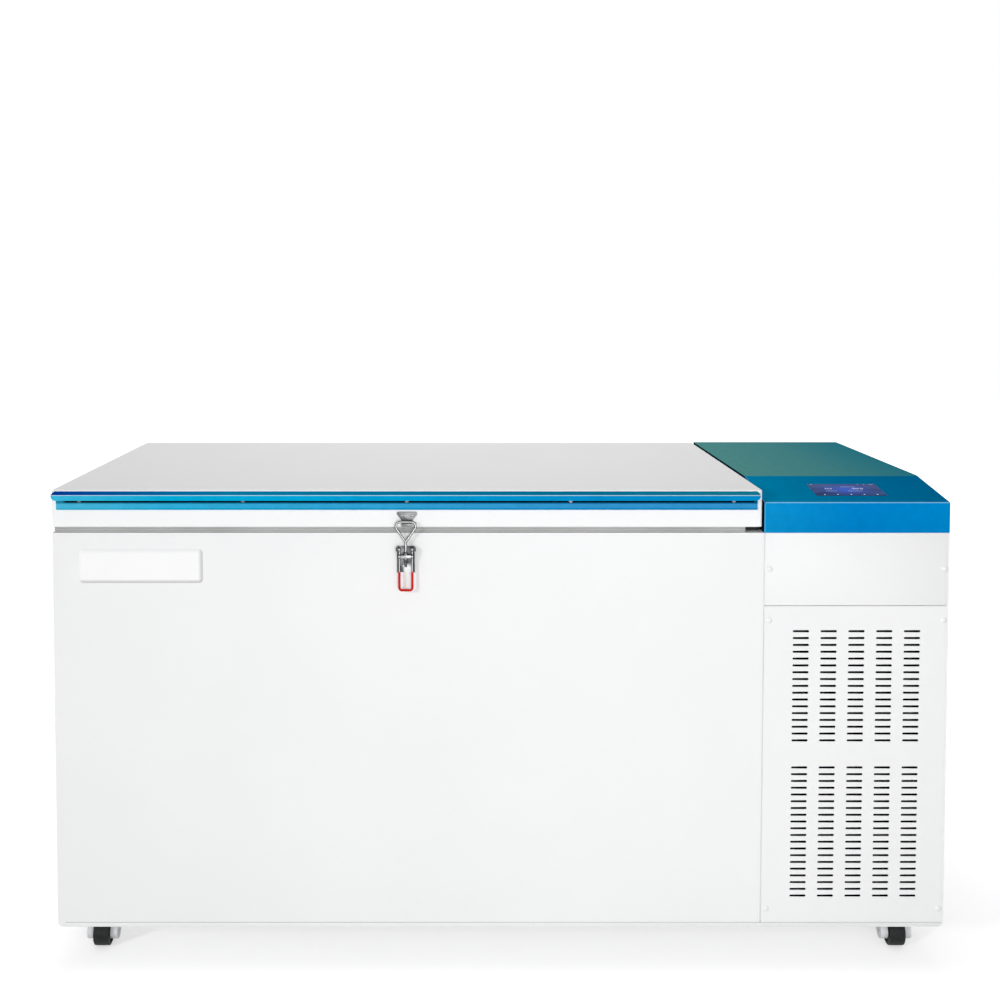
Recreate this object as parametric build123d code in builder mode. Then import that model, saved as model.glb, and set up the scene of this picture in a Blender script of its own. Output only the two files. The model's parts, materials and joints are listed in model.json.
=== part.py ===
import os
from math import atan2, cos, sin

from build123d import *

os.makedirs("parts", exist_ok=True)

# Cabinet and base
cabinet_width = 1940.0
cabinet_depth = 860.0
cabinet_height = 871.0  # underside of the base pan to the chest rim
caster_height = 88.0
compartment_width = 396.0  # partition to side panel
pan_height = 10.0
pan_sheet = 2.0
pan_corner_cut = 8.0
rail_width = 110.0
sheet = 1.5
casing_bend = 3.0
rim_flange = 40.0

# Chest walls and chamber
wall_insulation = 125.0  # outer face to chamber face
floor_insulation = 125.0
collar_thickness = 8.0
liner_sheet = 1.0
coil_tube = 10.0
coil_turns = 6
coil_margin = 50.0

# Machine compartment
side_panel_edge = 4.0
panel_gap = 1.0
panel_depth = 15.0
upper_panel_height = 159.0  # chest rim to the seam between the two front panels
frame_sheet = 2.0
frame_post = 25.0
slot_width = 35.5
slot_height = 4.8
slot_columns = 5
slot_column_pitch = 60.2
upper_slot_rows = 17
lower_slot_rows = 20
slot_group_gap = 60.0
slot_margin = 55.0
slot_base_margin = 60.0
slot_shift = 3.0
cap_diameter = 13.0
cap_height = 2.0
cap_inset = 10.0
cap_outer_inset = 5.5
cap_margin = 31.0
exhaust_slot_width = 120.0
exhaust_slot_height = 8.0
exhaust_rows = 10
exhaust_row_pitch = 20.0
exhaust_column_pitch = 160.0
exhaust_base = 400.0  # underside of the base pan to the middle of the exhaust rows

# Top cover and display
cover_sheet = 2.0
cover_overlap = 1.6
cover_front_height = 66.7
cover_rise = 27.6
cover_slope_run = 200.0
cover_bend = 3.0
display_width = 154.0
display_depth = 88.0
display_body = 10.0
display_shift = 1.8  # right of the cover's middle
display_rim = 8.0
display_proud = 0.5
display_setback = 91.5  # middle of the display behind the front edge, along the slope
fit_gap = 0.3

# Lid
lid_gap = 13.2
lid_thickness = 80.5
lid_end_gap = 6.2
lid_back_inset = 5.0
lid_corner = 6.0
lid_edge = 4.0
lid_liner_sheet = 2.0
plug_depth = 40.0
plug_clearance = 8.0
gasket_width = 26.0
gasket_inset = 4.0
gasket_end_inset = 35.0
gasket_lift = 0.3
gasket_groove = 2.5
gasket_ribs = 3

# Lid handle
handle_reach = 24.0
handle_end_inset = 7.5
handle_shift = -1.8  # of the lip, from the lid's middle
handle_top_drop = 3.6
handle_crest_drop = 8.3
handle_lip_drop = 20.4
handle_slot_drop = 27.6
handle_drop = 42.9
handle_wall = 2.5
handle_flange = 4.0
handle_web = 2.0
handle_shoulder = 3.0
handle_flange_inset = 11.3
handle_slot_inset = 15.0
handle_slot_shift = 6.0  # right of the lid's middle
handle_nose = 2.0
handle_lean = 1.5
handle_end_round = 10.0

# Toggle latch
latch_stand = 12.0  # wire centres in front of the cabinet face
wire_radius = 2.6
wire_sides = 12
latch_offset = 2.0  # left of the lid's middle
catch_width = 52.0
catch_neck = 22.0
catch_height = 31.1
catch_taper = 20.0
catch_sheet = 2.0
catch_corner = 4.0
catch_base = 2.0  # lower edge of the catch above the lid's lower edge
catch_lip_height = 6.8
catch_clearance = 0.5
loop_width = 59.0
loop_corner = 10.0
loop_rise = 4.0  # bar centre above the catch lip
loop_height = 42.0
shank_radius = 2.8
shank_below = 23.0
trunnion_drop = 33.0  # loop apex to trunnion axis
trunnion_height = 6.0
trunnion_depth = 11.0
trunnion_journal = 1.5
lever_throw = 15.5  # pivot axis to trunnion axis
lever_width = 28.0
lever_wire_radius = 1.8
lever_length = 89.0
lever_corner = 6.0
eye_radius = 4.5
eye_width = 5.0
grip_length = 40.0
grip_wall = 0.65
grip_clearance = 0.15
pivot_radius = 2.0
pivot_head_radius = 4.5
pivot_head = 2.5
running_clearance = 0.05
base_sheet = 2.0
base_side_gap = 0.5
base_length = 57.0
base_top_margin = 5.5
base_cheek_reach = 17.0
base_foot_reach = 8.0
nut_width = 9.0
nut_height = 4.0
nut_gap = 0.1

# Lid hinges
hinge_span = 960.0
hinge_width = 70.0
hinge_lid_knuckle = 30.0
hinge_knuckle_gap = 0.4
hinge_barrel = 8.0
hinge_pin = 4.0
hinge_offset = 16.0
hinge_leaf = 3.0
hinge_leaf_height = 54.0
hinge_leaf_margin = 12.0
hinge_root = 16.0

# Casters
caster_inset = 74.0
caster_setback = 125.0  # cabinet face to kingpin
caster_trail = 28.0
caster_plate_length = 92.0
caster_plate_width = 80.0
caster_plate_sheet = 3.0
race_radius = 23.0
race_height = 10.0
race_gap = 0.4
kingpin_radius = 5.0
kingpin_length = 7.0
wheel_radius = 31.5
wheel_width = 34.6
wheel_edge = 2.5
fork_gap = 0.9
fork_leg = 16.0
fork_crown = 8.6
fork_crown_length = 44.0
fork_foot_radius = 17.0
axle_radius = 4.0

# Refrigeration machinery
condenser_width = 320.0
condenser_height = 340.0
condenser_depth = 60.0
condenser_gap = 23.0
condenser_border = 20.0
condenser_recess = 6.0
shroud_depth = 34.0
fan_radius = 120.0
fan_tip_gap = 6.0
fan_blades_count = 5
fan_blade_chord = 62.0
fan_blade_sheet = 3.0
fan_blade_pitch = 25.0
fan_hub_radius = 28.0
fan_hub_length = 30.0
fan_shaft_radius = 4.0
fan_arm_width = 40.0
fan_arm_sheet = 4.0
fan_motor_radius = 38.0
fan_motor_length = 60.0
fan_hub_gap = 0.5
compressor_radius = 88.0
compressor_height = 250.0
compressor_dome = 60.0
compressor_brow = 22.0
compressor_brow_radius = 64.0
compressor_crown_radius = 30.0
compressor_foot = 4.0
compressor_foot_size = 210.0
compressor_foot_pitch = 170.0
compressor_first = 290.0  # cabinet face to the first compressor
compressor_pitch = 260.0
grommet_radius = 13.0
grommet_height = 18.0
separator_radius = 36.0
separator_height = 300.0
drier_radius = 24.0
drier_height = 180.0
vessel_wall_gap = 8.0
vessel_shoulder = 0.33  # share of the radius
tank_radius = 72.0
tank_height = 420.0
tank_base = 330.0
tank_saddle_width = 60.0
tank_saddle_height = 30.0
tank_saddle_rise = 215.0
tank_saddle_pitch = 140.0
exchanger_width = 120.0
exchanger_depth = 230.0
exchanger_height = 380.0
exchanger_setback = 460.0
exchanger_base = 420.0
line_radius = 6.0
line_rise = 60.0
box_width = 300.0
box_depth = 150.0
box_height = 120.0
box_rise = 10.0

# Rear inlet and main switch
inlet_width = 50.0
inlet_height = 30.0
inlet_body_width = 36.0
inlet_body_height = 24.0
inlet_body_depth = 30.0
inlet_flange = 3.0
inlet_base = 150.0
inlet_socket_width = 26.0
inlet_socket_height = 16.0
inlet_socket_depth = 18.0
switch_width = 34.0
switch_height = 46.0
switch_rim = 4.0
switch_depth = 16.0
switch_pitch = 70.0
rocker_gap = 1.6
rocker_reach = 5.0
rocker_pin = 1.5
rocker_fit = 0.5

# Places worked out from the sizes above
front_y = -(handle_reach + cabinet_depth + hinge_offset + hinge_barrel) / 2 + handle_reach
back_y = front_y + cabinet_depth
mid_y = (front_y + back_y) / 2
pan_bottom = caster_height
pan_top = pan_bottom + pan_height
rim_z = pan_bottom + cabinet_height
wall_height = rim_z - pan_top
chest_left = -cabinet_width / 2
chest_width = cabinet_width - compartment_width - side_panel_edge
chest_right = chest_left + chest_width
chest_mid_x = (chest_left + chest_right) / 2
machine_right = cabinet_width / 2
side_left = machine_right - side_panel_edge
machine_mid_x = (chest_right + side_left) / 2
machine_width = side_left - chest_right
chamber_width = chest_width - 2 * wall_insulation
chamber_depth = cabinet_depth - 2 * wall_insulation
chamber_floor = pan_top + floor_insulation
collar_bottom = rim_z - collar_thickness
foam_width = chest_width - 2 * sheet
foam_depth = cabinet_depth - 2 * sheet
kingpin_ys = (front_y + caster_setback, back_y - caster_setback)
caster_x = cabinet_width / 2 - caster_inset

# Base pan, folded down at its edges, with the two rails that the casters bolt to
with BuildPart() as base_pan:
    with BuildSketch(Plane.XY.offset(pan_bottom)):
        with Locations((0, mid_y)):
            Rectangle(cabinet_width, cabinet_depth)
    extrude(amount=pan_height)
    pan_side_edges = base_pan.edges().filter_by(Axis.Y).group_by(Axis.Z)[0]
    chamfer(pan_side_edges, length=pan_corner_cut)
    offset(amount=-pan_sheet, openings=base_pan.faces().sort_by(Axis.Z)[0])
    with BuildSketch(Plane.XY.offset(pan_bottom)):
        with Locations(*[(0, y) for y in kingpin_ys]):
            Rectangle(cabinet_width - 2 * pan_corner_cut - 2 * pan_sheet, rail_width)
    extrude(amount=pan_height - pan_sheet)
base_pan.part.label = "base_pan"
export_step(base_pan.part, "parts/base_pan.step")

# Outer casing of the chest: front, left side and partition in one wrap, with the rim turned inwards
casing_depth = cabinet_depth - sheet
casing_mid_y = front_y + casing_depth / 2
with BuildPart() as outer_casing:
    with BuildSketch(Plane.XY.offset(pan_top)) as casing_plan:
        with Locations((chest_mid_x, casing_mid_y)):
            Rectangle(chest_width, casing_depth)
        fillet(casing_plan.vertices().group_by(Axis.Y)[0], casing_bend)
        with Locations((chest_mid_x, casing_mid_y + sheet)):
            Rectangle(foam_width, casing_depth, mode=Mode.SUBTRACT)
    extrude(amount=wall_height)
    with BuildSketch(Plane.XY.offset(rim_z)) as flange_plan:
        with Locations((chest_mid_x, casing_mid_y)):
            Rectangle(chest_width, casing_depth)
        fillet(flange_plan.vertices().group_by(Axis.Y)[0], casing_bend)
        with Locations((chest_mid_x, mid_y)):
            Rectangle(chest_width - 2 * rim_flange, cabinet_depth - 2 * rim_flange, mode=Mode.SUBTRACT)
    extrude(amount=-sheet)
outer_casing.part.label = "outer_casing"
export_step(outer_casing.part, "parts/outer_casing.step")

# Flat panel that closes the back of the chest
with BuildPart() as chest_rear_panel:
    with BuildSketch(Plane.XZ.offset(-back_y)):
        with Locations((chest_mid_x, (pan_top + rim_z) / 2)):
            Rectangle(chest_width, wall_height)
    extrude(amount=sheet)
chest_rear_panel.part.label = "chest_rear_panel"
export_step(chest_rear_panel.part, "parts/chest_rear_panel.step")

# Insulation foam round the chamber, with room for the coil against the liner
with BuildPart() as insulation_foam:
    with BuildSketch(Plane.XY.offset(pan_top)):
        with Locations((chest_mid_x, mid_y)):
            Rectangle(foam_width, foam_depth)
    extrude(amount=collar_bottom - pan_top)
    with BuildSketch(Plane.XY.offset(chamber_floor - liner_sheet)):
        with Locations((chest_mid_x, mid_y)):
            coil_room = 2 * (liner_sheet + coil_tube)
            Rectangle(chamber_width + coil_room, chamber_depth + coil_room)
    extrude(amount=collar_bottom - chamber_floor + liner_sheet, mode=Mode.SUBTRACT)
insulation_foam.part.label = "insulation_foam"
export_step(insulation_foam.part, "parts/insulation_foam.step")

# Stainless inner liner, open at the top
with BuildPart() as inner_liner:
    with BuildSketch(Plane.XY.offset(chamber_floor - liner_sheet)):
        with Locations((chest_mid_x, mid_y)):
            Rectangle(chamber_width + 2 * liner_sheet, chamber_depth + 2 * liner_sheet)
    extrude(amount=collar_bottom - chamber_floor + liner_sheet)
    offset(amount=-liner_sheet, openings=inner_liner.faces().sort_by(Axis.Z)[-1])
inner_liner.part.label = "inner_liner"
export_step(inner_liner.part, "parts/inner_liner.step")

# Evaporator coil wound round the liner, its turns joined by a riser at the back
coil_low = chamber_floor + coil_margin
coil_high = collar_bottom - coil_margin - coil_tube
coil_pitch = (coil_high - coil_low) / (coil_turns - 1)
coil_inner_width = chamber_width + 2 * liner_sheet
coil_inner_depth = chamber_depth + 2 * liner_sheet
with BuildPart() as evaporator_coil:
    for turn in range(coil_turns):
        with BuildSketch(Plane.XY.offset(coil_low + turn * coil_pitch)):
            with Locations((chest_mid_x, mid_y)):
                Rectangle(coil_inner_width + 2 * coil_tube, coil_inner_depth + 2 * coil_tube)
                Rectangle(coil_inner_width, coil_inner_depth, mode=Mode.SUBTRACT)
        extrude(amount=coil_tube)
    with BuildSketch(Plane.XY.offset(coil_low)):
        with Locations((chest_mid_x, mid_y + coil_inner_depth / 2 + coil_tube / 2)):
            Rectangle(coil_tube, coil_tube)
    extrude(amount=coil_high - coil_low + coil_tube)
evaporator_coil.part.label = "evaporator_coil"
export_step(evaporator_coil.part, "parts/evaporator_coil.step")

# Breaker collar that bridges casing and liner under the gasket
with BuildPart() as breaker_collar:
    with BuildSketch(Plane.XY.offset(collar_bottom)):
        with Locations((chest_mid_x, mid_y)):
            Rectangle(foam_width, foam_depth)
            Rectangle(chamber_width, chamber_depth, mode=Mode.SUBTRACT)
    extrude(amount=collar_thickness - sheet)
    with BuildSketch(Plane.XY.offset(rim_z - sheet)):
        with Locations((chest_mid_x, mid_y)):
            Rectangle(chest_width - 2 * rim_flange, cabinet_depth - 2 * rim_flange)
            Rectangle(chamber_width, chamber_depth, mode=Mode.SUBTRACT)
    extrude(amount=sheet)
breaker_collar.part.label = "breaker_collar"
export_step(breaker_collar.part, "parts/breaker_collar.step")

# Frame behind the front panels, with one window for each panel
split_z = rim_z - upper_panel_height
frame_y = front_y + panel_depth
with BuildPart() as compartment_frame:
    with BuildSketch(Plane.XZ.offset(-frame_y)):
        with Locations((machine_mid_x, (pan_top + rim_z) / 2)):
            Rectangle(machine_width, wall_height)
        for low, high in ((pan_top, split_z), (split_z, rim_z)):
            with Locations((machine_mid_x, (low + high) / 2)):
                Rectangle(machine_width - 2 * frame_post, high - low - 2 * frame_post, mode=Mode.SUBTRACT)
    extrude(amount=-frame_sheet)
compartment_frame.part.label = "compartment_frame"
export_step(compartment_frame.part, "parts/compartment_frame.step")

# Plain upper front panel, folded back on all four sides
panel_width = machine_width - 2 * panel_gap
upper_low = split_z + panel_gap
with BuildPart() as upper_front_panel:
    with BuildSketch(Plane.XZ.offset(-front_y)):
        with Locations((machine_mid_x, (upper_low + rim_z) / 2)):
            Rectangle(panel_width, rim_z - upper_low)
    extrude(amount=-panel_depth)
    offset(amount=-sheet, openings=upper_front_panel.faces().sort_by(Axis.Y)[-1])
upper_front_panel.part.label = "upper_front_panel"
export_step(upper_front_panel.part, "parts/upper_front_panel.step")

# Vent panel with two groups of slots in columns
vent_high = split_z - panel_gap
slot_rise = vent_high - pan_top - slot_margin - slot_base_margin - slot_group_gap
slot_row_pitch = slot_rise / (upper_slot_rows + lower_slot_rows - 2)
upper_slots_z = vent_high - slot_margin - slot_row_pitch * (upper_slot_rows - 1) / 2
lower_slots_z = pan_top + slot_base_margin + slot_row_pitch * (lower_slot_rows - 1) / 2
with BuildPart() as vent_panel:
    with BuildSketch(Plane.XZ.offset(-front_y)):
        with Locations((machine_mid_x, (pan_top + vent_high) / 2)):
            Rectangle(panel_width, vent_high - pan_top)
    extrude(amount=-panel_depth)
    offset(amount=-sheet, openings=vent_panel.faces().sort_by(Axis.Y)[-1])
    with BuildSketch(Plane.XZ.offset(-front_y)):
        for rows, middle in ((upper_slot_rows, upper_slots_z), (lower_slot_rows, lower_slots_z)):
            with Locations((machine_mid_x + slot_shift, middle)):
                with GridLocations(slot_column_pitch, slot_row_pitch, slot_columns, rows):
                    Rectangle(slot_width, slot_height)
    extrude(amount=-sheet, mode=Mode.SUBTRACT)
vent_panel.part.label = "vent_panel"
export_step(vent_panel.part, "parts/vent_panel.step")

# Screw caps of the two front panels
cap_left = machine_mid_x - panel_width / 2 + cap_inset
cap_right = machine_mid_x + panel_width / 2 - cap_outer_inset
cap_zs = (pan_top + cap_margin, vent_high - cap_margin, (upper_low + rim_z) / 2)
with BuildPart() as panel_screw_caps:
    with BuildSketch(Plane.XZ.offset(-front_y)):
        for z in cap_zs:
            with Locations((cap_left, z), (cap_right, z)):
                Circle(cap_diameter / 2)
    extrude(amount=cap_height)
panel_screw_caps.part.label = "panel_screw_caps"
export_step(panel_screw_caps.part, "parts/panel_screw_caps.step")

# Right side panel, hemmed so that its edge shows beside the front panels
with BuildPart() as side_panel:
    with BuildSketch(Plane.YZ.offset(side_left)):
        with Locations((mid_y, (pan_top + rim_z) / 2)):
            Rectangle(cabinet_depth, wall_height)
    extrude(amount=side_panel_edge)
    offset(amount=-sheet, openings=side_panel.faces().sort_by(Axis.X)[0])
side_panel.part.label = "side_panel"
export_step(side_panel.part, "parts/side_panel.step")

# Rear panel of the compartment, with exhaust slots and the cut-outs for inlet and switch
inlet_z = pan_bottom + inlet_base
inlet_x = machine_mid_x - switch_pitch / 2
switch_x = machine_mid_x + switch_pitch / 2
switch_body_width = switch_width - 2 * switch_rim
switch_body_height = switch_height - 2 * switch_rim
with BuildPart() as compartment_rear_panel:
    with BuildSketch(Plane.XZ.offset(-back_y)):
        with Locations((machine_mid_x, (pan_top + rim_z) / 2)):
            Rectangle(machine_width, wall_height)
    extrude(amount=panel_depth)
    offset(amount=-sheet, openings=compartment_rear_panel.faces().sort_by(Axis.Y)[0])
    with BuildSketch(Plane.XZ.offset(-back_y)):
        with Locations((machine_mid_x, pan_bottom + exhaust_base)):
            with GridLocations(exhaust_column_pitch, exhaust_row_pitch, 2, exhaust_rows):
                Rectangle(exhaust_slot_width, exhaust_slot_height)
        with Locations((inlet_x, inlet_z)):
            Rectangle(inlet_body_width + 2 * fit_gap, inlet_body_height + 2 * fit_gap)
        with Locations((switch_x, inlet_z)):
            Rectangle(switch_body_width + 2 * fit_gap, switch_body_height + 2 * fit_gap)
    extrude(amount=sheet, mode=Mode.SUBTRACT)
compartment_rear_panel.part.label = "compartment_rear_panel"
export_step(compartment_rear_panel.part, "parts/compartment_rear_panel.step")

# Blue top cover: upright front, sloped control face, flat top, open underneath
cover_left = chest_right - cover_overlap
cover_edge_z = rim_z + cover_front_height
cover_top = cover_edge_z + cover_rise
slope_angle = atan2(cover_rise, cover_slope_run)
display_plane = Plane(
    origin=(
        (cover_left + machine_right) / 2 + display_shift,
        front_y + display_setback * cos(slope_angle),
        cover_edge_z + display_setback * sin(slope_angle),
    ),
    x_dir=(1, 0, 0),
    z_dir=(0, -sin(slope_angle), cos(slope_angle)),
)
with BuildPart() as top_cover:
    with BuildSketch(Plane.YZ.offset(cover_left)):
        with BuildLine():
            Polyline(
                (front_y, rim_z),
                (front_y, cover_edge_z),
                (front_y + cover_slope_run, cover_top),
                (back_y, cover_top),
                (back_y, rim_z),
                close=True,
            )
        make_face()
    extrude(amount=machine_right - cover_left)
    offset(amount=-cover_sheet, openings=top_cover.faces().sort_by(Axis.Z)[0])
    cover_sides = top_cover.edges().filter_by(Axis.Z).group_by(Axis.X)
    fillet(cover_sides[0] + cover_sides[-1], cover_bend)
    cover_front_edges = top_cover.edges().filter_by(Axis.X).group_by(Axis.Y)[0]
    fillet(cover_front_edges.sort_by(Axis.Z)[-1], cover_bend)
    with BuildSketch(display_plane):
        Rectangle(display_width + 2 * fit_gap, display_depth + 2 * fit_gap)
    extrude(amount=-2 * cover_sheet, mode=Mode.SUBTRACT)
top_cover.part.label = "top_cover"
export_step(top_cover.part, "parts/top_cover.step")

# Touch display, held from below by its rim
with BuildPart() as touch_display:
    with BuildSketch(display_plane.offset(display_proud)):
        Rectangle(display_width, display_depth)
    extrude(amount=-display_proud - cover_sheet - display_body)
    with BuildSketch(display_plane.offset(-cover_sheet)):
        Rectangle(display_width + 2 * display_rim, display_depth + 2 * display_rim)
    extrude(amount=-display_body / 2)
touch_display.part.label = "touch_display"
export_step(touch_display.part, "parts/touch_display.step")

# Lid outer pan
lid_bottom = rim_z + lid_gap
lid_top = lid_bottom + lid_thickness
lid_width = chest_width - lid_end_gap
lid_depth = cabinet_depth - lid_back_inset
lid_mid_x = chest_left + lid_width / 2
lid_mid_y = front_y + lid_depth / 2
with BuildPart() as lid_outer_pan:
    with BuildSketch(Plane.XY.offset(lid_bottom)):
        with Locations((lid_mid_x, lid_mid_y)):
            Rectangle(lid_width, lid_depth)
    extrude(amount=lid_thickness)
    fillet(lid_outer_pan.edges().filter_by(Axis.Z), lid_corner)
    fillet(lid_outer_pan.edges().group_by(Axis.Z)[-1], lid_edge)
    offset(amount=-sheet, openings=lid_outer_pan.faces().sort_by(Axis.Z)[0])
lid_outer_pan.part.label = "lid_outer_pan"
export_step(lid_outer_pan.part, "parts/lid_outer_pan.step")

# Lid inner liner: a flange inside the pan and the plug that reaches into the chamber
plug_width = chamber_width - 2 * plug_clearance
plug_depth_y = chamber_depth - 2 * plug_clearance
plug_bottom = rim_z - plug_depth
lid_inner_width = lid_width - 2 * sheet
lid_inner_depth = lid_depth - 2 * sheet
with BuildPart() as lid_inner_liner:
    with BuildSketch(Plane.XY.offset(lid_bottom)) as lid_flange_plan:
        with Locations((lid_mid_x, lid_mid_y)):
            Rectangle(lid_inner_width, lid_inner_depth)
        chamfer(lid_flange_plan.vertices(), lid_corner)
    extrude(amount=lid_liner_sheet)
    with BuildSketch(Plane.XY.offset(plug_bottom)):
        with Locations((chest_mid_x, mid_y)):
            Rectangle(plug_width, plug_depth_y)
    extrude(amount=lid_bottom - plug_bottom)
    with BuildSketch(Plane.XY.offset(plug_bottom + lid_liner_sheet)):
        with Locations((chest_mid_x, mid_y)):
            Rectangle(plug_width - 2 * lid_liner_sheet, plug_depth_y - 2 * lid_liner_sheet)
    extrude(amount=lid_bottom - plug_bottom, mode=Mode.SUBTRACT)
lid_inner_liner.part.label = "lid_inner_liner"
export_step(lid_inner_liner.part, "parts/lid_inner_liner.step")

# Foam that fills the lid and its plug
foam_low = lid_bottom + lid_liner_sheet
with BuildPart() as lid_foam:
    with BuildSketch(Plane.XY.offset(foam_low)):
        with Locations((lid_mid_x, lid_mid_y)):
            Rectangle(lid_inner_width, lid_inner_depth)
    extrude(amount=lid_top - sheet - foam_low)
    chamfer(lid_foam.edges().filter_by(Axis.Z), lid_corner)
    chamfer(lid_foam.edges().group_by(Axis.Z)[-1], lid_edge)
    with BuildSketch(Plane.XY.offset(foam_low)):
        with Locations((chest_mid_x, mid_y)):
            Rectangle(plug_width - 2 * lid_liner_sheet, plug_depth_y - 2 * lid_liner_sheet)
    extrude(amount=plug_bottom - lid_bottom)
lid_foam.part.label = "lid_foam"
export_step(lid_foam.part, "parts/lid_foam.step")

# Bellows gasket under the lid, ribbed on both faces
gasket_left = chest_left + gasket_inset
gasket_right = chest_left + lid_width - gasket_end_inset
gasket_front = front_y + gasket_inset
gasket_back = front_y + lid_depth - gasket_inset
gasket_mid_x = (gasket_left + gasket_right) / 2
gasket_mid_y = (gasket_front + gasket_back) / 2
gasket_layers = 2 * gasket_ribs - 1
gasket_layer = (lid_gap - gasket_lift) / gasket_layers
with BuildPart() as lid_gasket:
    for layer in range(gasket_layers):
        waist = gasket_groove * (layer % 2)
        with BuildSketch(Plane.XY.offset(rim_z + gasket_lift + layer * gasket_layer)):
            with Locations((gasket_mid_x, gasket_mid_y)):
                Rectangle(gasket_right - gasket_left - 2 * waist, gasket_back - gasket_front - 2 * waist)
                inside = 2 * (gasket_width - waist)
                Rectangle(
                    gasket_right - gasket_left - inside,
                    gasket_back - gasket_front - inside,
                    mode=Mode.SUBTRACT,
                )
        extrude(amount=gasket_layer)
lid_gasket.part.label = "lid_gasket"
export_step(lid_gasket.part, "parts/lid_gasket.step")

# Lid handle: a wedge-shaped lip over a finger channel, on a flat flange, closed at both ends
handle_length = lid_width - 2 * handle_end_inset
lip_mid_x = lid_mid_x + handle_shift
lip_nose = handle_reach - handle_lean
lip_bottom = lid_top - handle_lip_drop
pocket_length = handle_length - 2 * handle_slot_inset
with BuildPart() as lid_handle:
    with BuildSketch(Plane.YZ.offset(lip_mid_x)) as lip_profile:
        with BuildLine():
            Polyline(
                (front_y, lid_top - handle_top_drop),
                (front_y - handle_shoulder, lid_top - handle_top_drop),
                (front_y - handle_reach, lid_top - handle_crest_drop),
                (front_y - handle_reach, lid_top - handle_crest_drop - 2 * handle_nose),
                (front_y - lip_nose, lip_bottom),
                (front_y, lip_bottom),
                close=True,
            )
        make_face()
        fillet(lip_profile.vertices().group_by(Axis.X)[0], handle_nose)
    extrude(amount=handle_length / 2, both=True)
    with BuildSketch(Plane.XZ.offset(-front_y)) as lip_face:
        with Locations((lip_mid_x, lid_top - (handle_top_drop + handle_lip_drop) / 2)):
            Rectangle(handle_length, handle_lip_drop - handle_top_drop)
        fillet(lip_face.vertices().group_by(Axis.Y)[0], handle_end_round)
        chamfer(lip_face.vertices().group_by(Axis.Y)[-1], handle_nose)
    extrude(amount=handle_reach, mode=Mode.INTERSECT)
    with BuildSketch(Plane.XZ.offset(-front_y)) as flange_face:
        with Locations((lid_mid_x, lid_top - (handle_lip_drop + handle_drop) / 2)):
            Rectangle(lid_width - 2 * handle_flange_inset, handle_drop - handle_lip_drop)
        fillet(flange_face.vertices().group_by(Axis.Y)[0], handle_nose)
    extrude(amount=handle_flange)
    with BuildSketch(Plane.YZ.offset(lid_mid_x + handle_slot_shift)):
        with BuildLine():
            Polyline(
                (front_y - handle_web, lid_top - handle_slot_drop),
                (front_y - handle_web, lid_top - handle_crest_drop),
                (front_y - handle_shoulder - handle_web, lid_top - handle_crest_drop),
                (front_y - lip_nose + handle_wall, lid_top - handle_crest_drop - 2 * handle_wall),
                (front_y - lip_nose + handle_wall, lid_top - handle_slot_drop),
                close=True,
            )
        make_face()
    extrude(amount=pocket_length / 2, both=True, mode=Mode.SUBTRACT)
lid_handle.part.label = "lid_handle"
export_step(lid_handle.part, "parts/lid_handle.step")

# Catch plate of the latch on the lid, with a short lip under the loop's bar
latch_x = lid_mid_x - latch_offset
latch_y = front_y - latch_stand
catch_low = lid_bottom + catch_base
catch_reach = latch_stand - wire_radius - catch_clearance
with BuildPart() as catch_plate:
    with BuildSketch(Plane.XZ.offset(-front_y)) as catch_outline:
        with BuildLine():
            Polyline(
                (lid_mid_x - catch_neck / 2, catch_low),
                (lid_mid_x - catch_neck / 2, catch_low + catch_height - catch_taper),
                (lid_mid_x - catch_width / 2, catch_low + catch_height),
                (lid_mid_x + catch_width / 2, catch_low + catch_height),
                (lid_mid_x + catch_neck / 2, catch_low + catch_height - catch_taper),
                (lid_mid_x + catch_neck / 2, catch_low),
                close=True,
            )
        make_face()
        fillet(catch_outline.vertices().group_by(Axis.Y)[-1], catch_corner)
    extrude(amount=catch_sheet)
    with BuildSketch(Plane.XY.offset(catch_low)):
        with Locations((lid_mid_x, front_y - catch_reach / 2)):
            Rectangle(catch_neck, catch_reach)
    extrude(amount=catch_lip_height)
catch_plate.part.label = "catch_plate"
export_step(catch_plate.part, "parts/catch_plate.step")

# Wire loop of the latch: a rounded triangle on a threaded shank
bar_z = catch_low + catch_lip_height + loop_rise
apex_z = bar_z - loop_height
trunnion_z = apex_z - trunnion_drop
pivot_z = trunnion_z + lever_throw
with BuildPart() as latch_loop:
    with BuildLine() as loop_path:
        FilletPolyline(
            (latch_x - wire_radius / 2, latch_y, apex_z),
            (latch_x - loop_width / 2, latch_y, bar_z),
            (latch_x, latch_y, bar_z),
            radius=loop_corner,
        )
    with BuildSketch(Plane(origin=loop_path.line @ 0, z_dir=loop_path.line % 0)):
        RegularPolygon(wire_radius, wire_sides)
    sweep(path=loop_path.line)
    mirror(about=Plane.YZ.offset(latch_x))
    with BuildSketch(Plane.XY.offset(trunnion_z - shank_below)):
        with Locations((latch_x, latch_y)):
            Circle(shank_radius)
    extrude(amount=trunnion_drop + shank_below + wire_radius)
latch_loop.part.label = "latch_loop"
export_step(latch_loop.part, "parts/latch_loop.step")

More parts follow.
